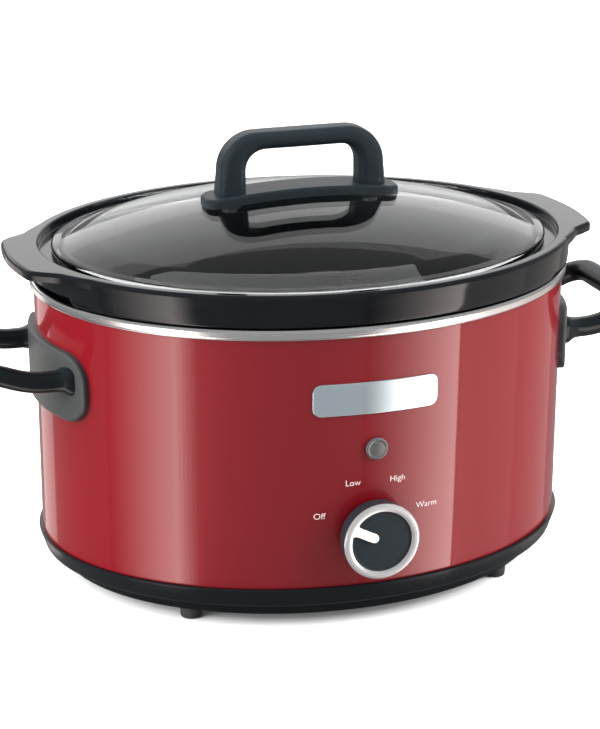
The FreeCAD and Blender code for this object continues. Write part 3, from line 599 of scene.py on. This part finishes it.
def make_gland():
    """Ribbed grommet low at the back, its bore open for the mains lead."""
    z = (GLAND_LOW.z + GLAND_HIGH.z) / 2
    bore = 3.7
    line = rounded([(bore, 0, 0.4), (bore, 16, 0), (7.4, 16, 0), (7.4, 12.5, 0), (10.5, 12.5, 0.3),
                    (10.5, 10.6, 0.8), (8.4, 10.2, 0.8), (7.7, 6.8, 0.3), (7.3, 6.6, 0.2),
                    (7.5, 5.2, 0.2), (7.1, 5.0, 0.2), (7.3, 3.6, 0.2), (6.9, 3.4, 0.2),
                    (6.8, 0, 0.9)], closed=True)
    piece = turned("rear_cord_gland", FINISH["base_resin"], [(r, -h) for r, h in line],
                   sections=64)
    settle(piece, HOUSING, ["cord_gland"], facing(GLAND_HIGH.y, z, -90))


def side_grip(side, name, node):
    """Escutcheon that hugs the casing, and a looped grip turned slightly up."""
    low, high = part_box(node)
    reach = max(abs(low.x), abs(high.x)) / MM
    plate_low, plate_high = 103.5 * MM, 141.5 * MM
    half_v, middle = (plate_high - plate_low) / 2, (plate_high + plate_low) / 2
    corner, thick, edge = 15 * MM, 4.0 * MM, 1.8 * MM
    label = "+X" if side > 0 else "-X"
    plate = panel(name + "_plate", FINISH["plate_resin"], high.y, half_v, corner, thick, edge,
                  lambda u, v, h: shell_point(u, middle + v, h, label), per_side=32)

    half_bar, bar_corner, leg, z, root = 5.5, 4.6, 40.5, 127.0, 134.0
    bend, tilt = 163.0, math.radians(20)
    bend_start, bend_length, hole_reach = bend - 9, 18.0, 184.4
    flare, flare_root, flare_length = 2.2, 143.5, 7.5
    far = bend + (reach - bend - half_bar * math.sin(tilt)) / math.cos(tilt)
    hole = bend + (hole_reach - bend) / math.cos(tilt)

    def hoop(end, half, radius):
        """Out along one leg, round the far side and back along the other leg."""
        line = run((root, -half), (end - radius, -half), 24)
        line += arc((end - radius, radius - half), radius, -90, 0, 14)
        line += run((end, radius - half), (end, half - radius), 12)[1:]
        line += arc((end - radius, half - radius), radius, 0, 90, 14)
        return line + run((root, half), (end - radius, half), 24)[::-1]

    def bent(u, y, h):
        """Straight out as far as the bend, then turned up."""
        swing = bend_length / tilt
        turn = tilt * min(1.0, max(0.0, (u - bend_start) / bend_length))
        past = max(0.0, u - bend_start - bend_length)
        x = min(u, bend_start) + (swing - h) * math.sin(turn) + past * math.cos(tilt)
        up = swing - (swing - h) * math.cos(turn) + past * math.sin(tilt)
        return Vector((side * x, y, z + up)) * MM

    def flared(u):
        """Legs grow thicker where they meet the escutcheon."""
        return flare * max(0.0, 1 - max(0.0, u - flare_root) / flare_length) ** 2

    pairs = list(zip(hoop(far, leg + half_bar, 17.0), hoop(hole, leg - half_bar, 6.0)))
    loop = bar(name, FINISH["grip_resin"], pairs, half_bar, bar_corner, bent, flared)
    settle(plate, HOUSING)
    settle(loop, HOUSING, [node])


def make_side_grips():
    """Both handles, each with its escutcheon."""
    side_grip(1, "side_grip_right", "side_handle_right")
    side_grip(-1, "side_grip_left", "side_handle_left")


# ---------------- knob and words
def make_knob():
    """Dished cap, and a bright ring with its pointer, both on the dial body."""
    z, face = (KNOB_LOW.z + KNOB_HIGH.z) / 2, KNOB_LOW.y
    r = (KNOB_HIGH.x - KNOB_LOW.x) / 2 / MM
    inner, lip, hollow, back = r - 4.2, -1.9, -6.0, -10.8
    line = rounded([(0, -1.75, 0), (inner - 1.4, -1.6, 0.6), (inner + 0.1, -1.3, 0),
                    (inner + 0.1, lip, 0), (r - 0.5, lip, 0.3), (r - 0.9, back, 0.4),
                    (r - 2.8, back, 0), (r - 2.8, hollow, 0), (6.0, hollow, 0), (6.0, back, 0),
                    (3.0, back, 0), (3.0, -7, 0), (0, -7, 0)])
    cap = turned("knob_cap", FINISH["knob_resin"], line, sections=128)
    settle(cap, DIAL, ["control_knob"], facing(face, z))
    line = rounded([(inner, lip, 0), (inner, -0.6, 0.3), (inner + 1.4, -0.12, 0.6),
                    (r - 1.1, 0.0, 0.8), (r, -0.9, 0.5), (r - 0.2, lip, 0)], closed=True)
    ring = turned("knob_bright_ring", FINISH["plated_trim"], line, sections=128)

    half_w, half_depth, edge, start, root, proud = 2.3, 0.6, 0.35, 4.8, inner - 3, -0.85
    stations = []
    for k in range(9):
        a = math.radians(10 * k)
        stations.append((start - half_w * math.cos(a), half_w * math.sin(a)))
    stations += [(start + (root - start) * k / 4, half_w) for k in range(1, 5)]
    stations += [(root + 0.9 * k, half_w + 0.055 * k ** 2.6) for k in range(1, 5)]
    pairs = [((x, w), (x, -w)) for x, w in stations if w > 0.05]
    aim = math.radians(153)

    def pointed(u, v, h):
        """Turn the pointer to the Off mark and lay it in the dish."""
        x, y = u * math.cos(aim) - v * math.sin(aim), u * math.sin(aim) + v * math.cos(aim)
        return Vector((x, y, h + proud)) * MM

    pointer = bar("pointer", FINISH["plated_trim"], pairs, half_depth, edge, pointed)
    settle(ring, DIAL, ["knob_ring"], facing(face, z), [pointer])


def make_words(context):
    """The four settings, printed round the knob on the casing."""
    shape = context.scene.cooker_shape
    z = (KNOB_LOW.z + KNOB_HIGH.z) / 2
    capital_share, thinning, half_thick, proud = 0.69, -0.05 * MM, 0.06 * MM, 0.12 * MM
    parts = []
    for word, degrees in (("Off", 157.5), ("Low", 112.5), ("High", 67.5), ("Warm", 22.5)):
        curve = bpy.data.curves.new(word, "FONT")
        curve.body = word
        curve.size = shape.letter_height / capital_share
        curve.align_x, curve.align_y = "CENTER", "CENTER"
        curve.offset = thinning
        curve.extrude = half_thick
        curve.resolution_u = 6
        text = bpy.data.objects.new(word, curve)
        context.scene.collection.objects.link(text)
        printed = new_piece("word_" + word, [(0, 0, 0)])
        context.view_layer.update()
        graph = context.evaluated_depsgraph_get()
        printed.data = bpy.data.meshes.new_from_object(text.evaluated_get(graph))
        bpy.data.objects.remove(text)
        angle = math.radians(degrees)
        cx, cz = shape.letter_radius * math.cos(angle), z + shape.letter_radius * math.sin(angle)
        for vertex in printed.data.vertices:
            out = proud + vertex.co.z
            vertex.co = shell_point(cx + vertex.co.x, cz + vertex.co.y, out, "-Y")
        printed.data.materials.clear()
        printed.data.materials.append(FINISH["printed_white"])
        parts.append(printed)
    settle(parts[0], HOUSING, parts=parts[1:])
    parts[0].name = "dial_words"


# ---------------- pot
def off_axis(degrees):
    """Angle between a direction and the nearer end of the X axis."""
    return abs((degrees + 90) % 180 - 90)


def lug_reach(degrees):
    """Distance from the middle to the finger lug's edge in a direction, or 0 beyond the lug."""
    angle = off_axis(degrees)
    tip, half = 164.6, 34.0
    edge = rounded([(tip, 0, 0), (tip - 0.8, 14, 60), (tip - 3.6, half, 9), (147.4, 43.6, 16),
                    (129.0, 66.0, 0)], steps=10)
    polar = [(math.degrees(math.atan2(y, x)), math.hypot(x, y)) for x, y in edge]
    for (a0, r0), (a1, r1) in zip(polar, polar[1:]):
        if a0 <= angle <= a1:
            return r0 + (r1 - r0) * (angle - a0) / max(a1 - a0, 1e-9)
    return 0.0


def make_crock():
    """Stoneware pot: hanging skirt, finger lugs, ledge for the lid."""
    rim, top, low, floor = POT_RIM, 186.2, 168.8, 73
    skirt, groove_top, relief_top, lug_under = 149.0, 172.0, 173.2, 181.0
    ledge_r, ledge_z, mouth = 145.5, 181.0, 134.2
    relief_half, relief_fade = 48.0 * MM, 9.0 * MM
    lug_zone, fine_step, coarse_step = 30, 0.4, 1.2
    body = rounded([(0, floor, 0), (40, floor, 0), (90, floor, 0), (129.2, floor, 12),
                    (136.6, low, 0), (137.0, groove_top, 2.6), (skirt, groove_top, 0)])
    hung = rounded([(skirt, groove_top, 0), (skirt, low, 0.8), (rim - 1.0, low, 2.4),
                    (rim - 0.4, relief_top, 0)])
    band = rounded([(rim - 0.4, relief_top, 0), (rim - 0.2, lug_under, 0)])
    lug = rounded([(rim - 0.2, lug_under, 0), (rim, lug_under, 0.9), (rim, top, 2.2),
                   (ledge_r, top, 1.3), (ledge_r, ledge_z, 0.6), (mouth, ledge_z, 1.6),
                   (125, 93, 0), (124.6, 80, 13), (60, 80, 0), (0, 80, 0)])
    rows = [(r, z, False, False) for r, z in body] + [(r, z, False, True) for r, z in hung]
    rows += [(r, z, False, False) for r, z in band]
    rows += [(r, z, r > (rim - 3.2) * MM, False) for r, z in lug]
    angles = []
    degrees = 0.0
    while degrees < 360:
        angles.append(degrees)
        degrees += fine_step if off_axis(degrees) < lug_zone else coarse_step
    reaches = [lug_reach(a) for a in angles]
    rings = []
    for r, z, on_lug, on_relief in rows:
        ring = []
        for a, reach in zip(angles, reaches):
            direction = Vector((math.cos(math.radians(a)), math.sin(math.radians(a))))
            oval = 1 / math.hypot(direction.x, direction.y / POT_SQUASH)
            here, height = r * oval, z
            if on_lug and reach > rim * MM * oval:
                here += reach - rim * MM * oval
            if on_relief:
                across = abs(here * direction.y)
                share = min(1.0, max(0.0, (relief_half - across) / relief_fade))
                share = share * share * (3 - 2 * share)
                near = min(r, skirt * MM) * oval
                here += share * (near - here)
                height += share * (max(z, groove_top * MM) - z)
            ring.append((here * direction.x, here * direction.y, height))
        rings.append(ring)
    piece = skinned("stoneware_pot", FINISH["black_glaze"], rings)
    settle(piece, POT, ["crock"])


# ---------------- lid
# Radius of the glass's crown, and where its steeper shoulder starts, in millimetres along X
CROWN_R, CROWN_END = 420.0, 124.0


def crown_z(r):
    """Height in millimetres of the glass's outer face at a distance along X."""
    return GLASS_HIGH.z / MM - CROWN_R + math.sqrt(CROWN_R ** 2 - r ** 2)


def make_glass(context):
    """Domed glass with a steeper shoulder, its underside a constant thickness below."""
    r, seat = GLASS_HIGH.x / MM, GLASS_LOW.z / MM
    thick, edge, spans = 4.0, seat + 3.8, 14
    crown = [(CROWN_END * k / spans, crown_z(CROWN_END * k / spans)) for k in range(spans + 1)]
    shoulder = rounded([(*crown[-1], 0), (r - 5.8, edge + 1.0, 3.0), (r, edge, 1.7),
                        (r - 0.8, seat, 0.9), (r - 6.4, seat, 0.9),
                        (CROWN_END + 1.0, crown_z(CROWN_END) - thick - 1.0, 3.0),
                        (CROWN_END - 5, crown_z(CROWN_END - 5) - thick, 0)])
    line = [(x * MM, z * MM) for x, z in crown[:-1]] + shoulder
    line += [(x * MM, (z - thick) * MM) for x, z in crown[-2::-1]]
    piece = main_oval(context, "domed_lid_glass", "clear_glass", line, GLASS_SQUASH)
    settle(piece, LID, ["lid_glass"])


def make_lid_grip(context):
    """Bail grip on an oblong foot that follows the glass."""
    top = GRIP_HIGH.z / MM
    under, low = top - 9.8, GLASS_HIGH.z / MM - 2
    out, lean, inn, half_depth = 48.6, 1.6, 32.5, 8.5
    rounding = context.scene.cooker_shape.grip_rounding / MM

    def hoop(foot, neck, height, radius):
        """Up one leg, round and over the top and down the other leg."""
        line = run((-foot, low), (-neck, height - radius), 8)
        line += arc((radius - neck, height - radius), radius, 180, 90, 16)
        line += run((radius - neck, height), (neck - radius, height), 8)[1:]
        line += arc((neck - radius, height - radius), radius, 90, 0, 16)
        return line + run((foot, low), (neck, height - radius), 8)[::-1]

    def on_dome(u, v, h):
        """Point a height above the glass."""
        return Vector((u, v, crown_z(math.hypot(u, v / GLASS_SQUASH) / MM) * MM + h))

    pairs = list(zip(hoop(out, out - lean, top, 21.0), hoop(inn, inn, under, 11.0)))
    bail = bar("grip_bail", FINISH["lid_resin"], pairs, half_depth, rounding,
               lambda x, z, y: Vector((x, y, z)) * MM)
    half_u, half_v, corner, thick, edge, gap = (v * MM for v in (55.5, 12, 8, 5, 1.6, 0.02))
    foot = panel("lid_grip", FINISH["lid_resin"], half_u, half_v, corner, thick, edge,
                 lambda u, v, h: on_dome(u, v, h + gap))
    settle(foot, LID, ["lid_handle"], parts=[bail])


# ---------------- carried-over pieces
def dress_frame():
    """Finishes for the frame's own pieces, most of them inside the casing."""
    finishes = {
        "pan_steel": ("heating_well", "bottom_plate"),
        "zinc": ("well_posts", "heater_straps", "fuse_clip", "control_bracket", "switch_shaft",
                 "lamp_clip", "handle_screws", "handle_washers"),
        "dark_zinc": ("lid_screws",),
        "mica": ("heater_band",),
        "brass": ("heater_terminals", "switch_nut"),
        "plated_trim": ("thermal_fuse",),
        "switch_body": ("rotary_switch",),
        "steatite": ("terminal_block",),
        "lamp_glass": ("neon_lamp",),
        "seal_rubber": ("lid_washers",),
        "woven_sleeve": [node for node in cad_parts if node.startswith("lead_")],
    }
    for finish, nodes in finishes.items():
        for node in nodes:
            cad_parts[node].material_slots[0].material = FINISH[finish]


def make_finishes(context):
    """Every finish, by name."""
    colors = context.scene.cooker_finish
    resin, plating = tuple(colors.resin), tuple(colors.plating)
    FINISH.update({
        "red_paint": red_paint(tuple(colors.shell)),
        "black_glaze": black_glaze(tuple(colors.glaze)),
        "base_resin": moulded("base_resin", resin, 0.24),
        "grip_resin": moulded("grip_resin", shade(resin, 1.2), 0.24),
        "plate_resin": moulded("plate_resin", (0.017, 0.018, 0.018), 0.42),
        "lid_resin": moulded("lid_resin", shade(resin, 2.1), 0.4),
        "knob_resin": moulded("knob_resin", shade(resin, 3.0), 0.3, 0.002),
        "rolled_steel": rolled_steel("rolled_steel", plating),
        "pan_steel": rolled_steel("pan_steel", shade(plating, 0.7), 0.42),
        "plated_trim": plated("plated_trim", shade(plating, 0.78), 0.3, 0.92),
        "badge_metal": plated("badge_metal", (0.56, 0.66, 0.71), 0.2, 0.93),
        "clear_glass": clear_glass("clear_glass", (0.97, 0.985, 0.98)),
        "lamp_glass": clear_glass("lamp_glass", (0.95, 0.75, 0.6)),
        "smoked_lens": smoked_lens((0.045, 0.045, 0.044)),
        "foot_rubber": rubber("foot_rubber", (0.012, 0.012, 0.012)),
        "seal_rubber": rubber("seal_rubber", (0.012, 0.012, 0.012)),
        "zinc": plated("zinc", (0.62, 0.63, 0.65), 0.34),
        "dark_zinc": plated("dark_zinc", (0.10, 0.10, 0.105), 0.4),
        "brass": plated("brass", (0.72, 0.52, 0.22), 0.3),
        "mica": fired_body("mica", (0.42, 0.34, 0.22), 0.55),
        "switch_body": fired_body("switch_body", (0.68, 0.62, 0.5), 0.5),
        "steatite": fired_body("steatite", (0.8, 0.78, 0.7), 0.6),
        "woven_sleeve": woven_sleeve((0.7, 0.68, 0.62)),
        "printed_white": printed_white(tuple(colors.lettering)),
    })


# ---------------- stage
WARM_WHITE, PURE_WHITE = (1.0, 0.9, 0.85, 1.0), (1.0, 1.0, 1.0, 1.0)

# The floor ends before the light panels, and what is seen past it is just as white
FLOOR_HALF, SKY_LIGHT, SKY_SEEN = 1.42, 0.36, 1.05

# Soft lights: name, place, what it faces, size, power in watts
LIGHTS = (
    ("top_light", (0.0, 0.1, 1.7), (0, 0, 0), (1.8, 1.8), 40),
    ("left_light", (-1.5, -0.1, 0.85), (0, 0, 0.1), (1.8, 1.6), 205),
    ("right_light", (1.5, -0.45, 0.85), (0, 0, 0.1), (1.8, 1.6), 246),
    ("back_light", (0.3, 1.6, 0.75), (0, 0, 0.15), (2.6, 1.7), 10),
)
# What the glaze, the glass and the plating mirror: half size, height and brightness of the card
# over the floor, then name, foot, top and brightness of each card behind the cooker
MIRROR_HALF, MIRROR_LIFT, MIRROR_GLOW = 6.0, 0.0005, 0.30
BACK_CARDS = (("low_card", 0.55, 1.02, 1.7), ("high_card", 1.02, 2.3, 1.4))
# Bands that the casing mirrors: name, angle round the oval from, to, brightness, steps of its ramp
MIRRORED = (
    ("mirror_left_edge", -182, -172, 1.3, 1),
    ("mirror_left", -150, -131.5, 7.6, 14),
    ("mirror_left_fall", -126.5, -131.5, 6.0, 5),
    ("mirror_right", -93, -71, 8.6, 16),
    ("mirror_right_soft", -70.5, -53, 1.0, 1),
    ("mirror_right_edge", -53, -35, 0.7, 1),
)


def studio_emitter(name, corners, strength, color=PURE_WHITE):
    """Glowing card that only reflections see."""
    glow = bpy.data.materials.new(name)
    glow.use_nodes = True
    tree = glow.node_tree
    tree.nodes.clear()
    light = wire(tree, "ShaderNodeEmission", {"Color": color, "Strength": strength})
    wire(tree, "ShaderNodeOutputMaterial", {"Surface": light.outputs[0]})
    card = new_piece(name, corners, (), [(0, 1, 2, 3)], glow)
    card.visible_camera = card.visible_shadow = False
    card.visible_diffuse = card.visible_transmission = False


def softbox(name, place, aim, size, power):
    """Large soft area light that neither the camera nor a reflection shows."""
    data = bpy.data.lights.new(name, "AREA")
    data.shape = "RECTANGLE"
    data.size, data.size_y = size
    data.energy = power
    lamp = bpy.data.objects.new(name, data)
    lamp.location = place
    lamp.rotation_euler = (Vector(aim) - Vector(place)).to_track_quat("-Z", "Y").to_euler()
    lamp.visible_camera = lamp.visible_glossy = False
    bpy.context.scene.collection.objects.link(lamp)


def mirrored_strip(name, eye, first, last, strength):
    """Card on the floor that the casing mirrors from one angle round the oval to another."""
    a, b, z = SHELL_HEAD[0], (SHELL_FOOT[1] + SHELL_HEAD[1]) / 2, 0.1
    start, reach, lift = 0.02, 0.9, 0.0008
    ends = []
    for degrees in (first, last):
        t = math.radians(degrees)
        point = Vector((a * math.cos(t), b * math.sin(t), z))
        normal = Vector((math.cos(t) / a, math.sin(t) / b, 0)).normalized()
        ray = (point - eye).normalized()
        away = ray - 2 * ray.dot(normal) * normal
        away.z = 0
        away.normalize()
        near, far = point + away * start, point + away * reach
        ends.append([(near.x, near.y, lift), (far.x, far.y, lift)])
    studio_emitter(name, [ends[0][0], ends[0][1], ends[1][1], ends[1][0]], strength, WARM_WHITE)


def level_square(half, z):
    """Corners of a level square round the origin."""
    return [(x * half, y * half, z) for x, y in ((-1, -1), (1, -1), (1, 1), (-1, 1))]


def make_stage(context):
    """Pale floor, soft light and the camera."""
    stage = context.scene.cooker_stage
    scene = context.scene
    target = Vector((0, 0, 0.108))
    az, el = stage.azimuth, stage.elevation
    back = Vector((math.sin(az) * math.cos(el), -math.cos(az) * math.cos(el), math.sin(el)))
    eye = target + back * stage.distance
    data = bpy.data.cameras.new("camera")
    data.lens, data.sensor_width = stage.lens, 36.0
    data.sensor_fit = "AUTO"
    camera = bpy.data.objects.new("camera", data)
    camera.location = eye
    camera.rotation_euler = (-back).to_track_quat("-Z", "Y").to_euler()
    scene.collection.objects.link(camera)
    scene.camera = camera

    pale = grainy("pale_floor", (stage.floor_shade,) * 3, (stage.floor_shade * 1.01,) * 3, 0.9,
                  0.02, 3.0, 0.0)
    new_piece("floor", level_square(FLOOR_HALF, 0), (), [(0, 1, 2, 3)], pale)

    studio_emitter("mirror_floor", level_square(MIRROR_HALF, MIRROR_LIFT), MIRROR_GLOW)
    for name, first, last, strength, steps in MIRRORED:
        step = (last - first) / steps
        for k in range(steps):
            share = ((k + 1) / steps) ** 1.6
            mirrored_strip(name + "_" + str(k), eye, first + k * step, first + (k + 1) * step,
                           strength * share)
    left, right, behind = -1.2, 2.6, 2.0
    for name, low, high, strength in BACK_CARDS:
        studio_emitter(name, [(left, behind, low), (right, behind, low), (right, behind, high),
                              (left, behind, high)], strength)
    for light in LIGHTS:
        softbox(*light)

    world = bpy.data.worlds.new("studio")
    world.use_nodes = True
    tree = world.node_tree
    tree.nodes.clear()
    path = wire(tree, "ShaderNodeLightPath").outputs["Is Camera Ray"]
    strength = wire(tree, "ShaderNodeMapRange",
                    {"Value": path, "To Min": SKY_LIGHT, "To Max": SKY_SEEN}).outputs[0]
    sky = wire(tree, "ShaderNodeBackground", {"Color": PURE_WHITE, "Strength": strength})
    wire(tree, "ShaderNodeOutputWorld", {"Surface": sky.outputs[0]})
    scene.world = world
    scene.view_settings.view_transform = "Standard"


# ---------------- operators
class COOKER_OT_finishes(bpy.types.Operator):
    """Make every finish of the cooker"""

    bl_idname = "cooker.finishes"
    bl_label = "Finishes"

    def execute(self, context):
        make_finishes(context)
        return {"FINISHED"}


class COOKER_OT_inner_pieces(bpy.types.Operator):
    """Finish the frame's own pieces"""

    bl_idname = "cooker.inner_pieces"
    bl_label = "Inner pieces"

    def execute(self, context):
        dress_frame()
        return {"FINISHED"}


class COOKER_OT_shell(bpy.types.Operator):
    """Build the lacquered casing"""

    bl_idname = "cooker.shell"
    bl_label = "Casing shell"

    def execute(self, context):
        make_shell(context)
        return {"FINISHED"}


class COOKER_OT_rim_band(bpy.types.Operator):
    """Build the bright band under the pot's rim"""

    bl_idname = "cooker.rim_band"
    bl_label = "Rim band"

    def execute(self, context):
        make_rim_band(context)
        return {"FINISHED"}


class COOKER_OT_base(bpy.types.Operator):
    """Build the moulded base"""

    bl_idname = "cooker.base"
    bl_label = "Base"

    def execute(self, context):
        make_base(context)
        return {"FINISHED"}


class COOKER_OT_feet(bpy.types.Operator):
    """Plant the feet and the plate's screws"""

    bl_idname = "cooker.feet"
    bl_label = "Feet and screws"

    def execute(self, context):
        make_feet()
        return {"FINISHED"}


class COOKER_OT_badge(bpy.types.Operator):
    """Build the blank badge"""

    bl_idname = "cooker.badge"
    bl_label = "Badge"

    def execute(self, context):
        make_badge()
        return {"FINISHED"}


class COOKER_OT_lamp(bpy.types.Operator):
    """Build the lamp's lens"""

    bl_idname = "cooker.lamp"
    bl_label = "Lamp"

    def execute(self, context):
        make_lamp()
        return {"FINISHED"}


class COOKER_OT_gland(bpy.types.Operator):
    """Build the gland at the back"""

    bl_idname = "cooker.gland"
    bl_label = "Cord gland"

    def execute(self, context):
        make_gland()
        return {"FINISHED"}


class COOKER_OT_side_grips(bpy.types.Operator):
    """Build both carrying handles"""

    bl_idname = "cooker.side_grips"
    bl_label = "Side grips"

    def execute(self, context):
        make_side_grips()
        return {"FINISHED"}


class COOKER_OT_knob(bpy.types.Operator):
    """Build the knob and its ring"""

    bl_idname = "cooker.knob"
    bl_label = "Knob"

    def execute(self, context):
        make_knob()
        return {"FINISHED"}


class COOKER_OT_words(bpy.types.Operator):
    """Print the settings round the knob"""

    bl_idname = "cooker.words"
    bl_label = "Words"

    def execute(self, context):
        make_words(context)
        return {"FINISHED"}


class COOKER_OT_pot(bpy.types.Operator):
    """Build the pot"""

    bl_idname = "cooker.pot"
    bl_label = "Stoneware pot"

    def execute(self, context):
        make_crock()
        return {"FINISHED"}


class COOKER_OT_glass(bpy.types.Operator):
    """Build the domed glass"""

    bl_idname = "cooker.glass"
    bl_label = "Lid glass"

    def execute(self, context):
        make_glass(context)
        return {"FINISHED"}


class COOKER_OT_lid_grip(bpy.types.Operator):
    """Build the lid's grip"""

    bl_idname = "cooker.lid_grip"
    bl_label = "Lid grip"

    def execute(self, context):
        make_lid_grip(context)
        return {"FINISHED"}


class COOKER_OT_stage(bpy.types.Operator):
    """Set the floor, the light and the camera"""

    bl_idname = "cooker.stage"
    bl_label = "Stage"

    def execute(self, context):
        make_stage(context)
        return {"FINISHED"}


OPERATORS = (
    COOKER_OT_finishes, COOKER_OT_inner_pieces, COOKER_OT_shell, COOKER_OT_rim_band,
    COOKER_OT_base, COOKER_OT_feet, COOKER_OT_badge, COOKER_OT_lamp, COOKER_OT_gland,
    COOKER_OT_side_grips, COOKER_OT_knob, COOKER_OT_words, COOKER_OT_pot, COOKER_OT_glass,
    COOKER_OT_lid_grip, COOKER_OT_stage,
)


class COOKER_PT_panel(bpy.types.Panel):
    """Lists the cooker's pieces and settings"""

    bl_label = "Slow cooker"
    bl_idname = "COOKER_PT_panel"
    bl_space_type = "VIEW_3D"
    bl_region_type = "UI"
    bl_category = "Cooker"

    def draw(self, context):
        """Every setting, then a button for each piece."""
        scene = context.scene
        for settings in (scene.cooker_finish, scene.cooker_shape, scene.cooker_stage):
            for name in settings.__annotations__:
                self.layout.prop(settings, name)
        for kind in OPERATORS:
            self.layout.operator(kind.bl_idname)


CLASSES = [CookerFinish, CookerShape, CookerStage, *OPERATORS, COOKER_PT_panel]
FINISH = {}  # filled by make_finishes
TURNING = turning_tree()
PLANTING = planting_tree()


def register():
    """Add the classes and the settings that the scene keeps."""
    for kind in CLASSES:
        bpy.utils.register_class(kind)
    bpy.types.Scene.cooker_finish = bpy.props.PointerProperty(type=CookerFinish)
    bpy.types.Scene.cooker_shape = bpy.props.PointerProperty(type=CookerShape)
    bpy.types.Scene.cooker_stage = bpy.props.PointerProperty(type=CookerStage)


def unregister():
    """Take the settings and the classes away again."""
    del bpy.types.Scene.cooker_stage
    del bpy.types.Scene.cooker_shape
    del bpy.types.Scene.cooker_finish
    for kind in reversed(CLASSES):
        bpy.utils.unregister_class(kind)


def main():
    """Register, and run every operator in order."""
    register()
    for kind in OPERATORS:
        getattr(bpy.ops.cooker, kind.bl_idname.split(".")[1])()


if __name__ == "__main__":
    main()
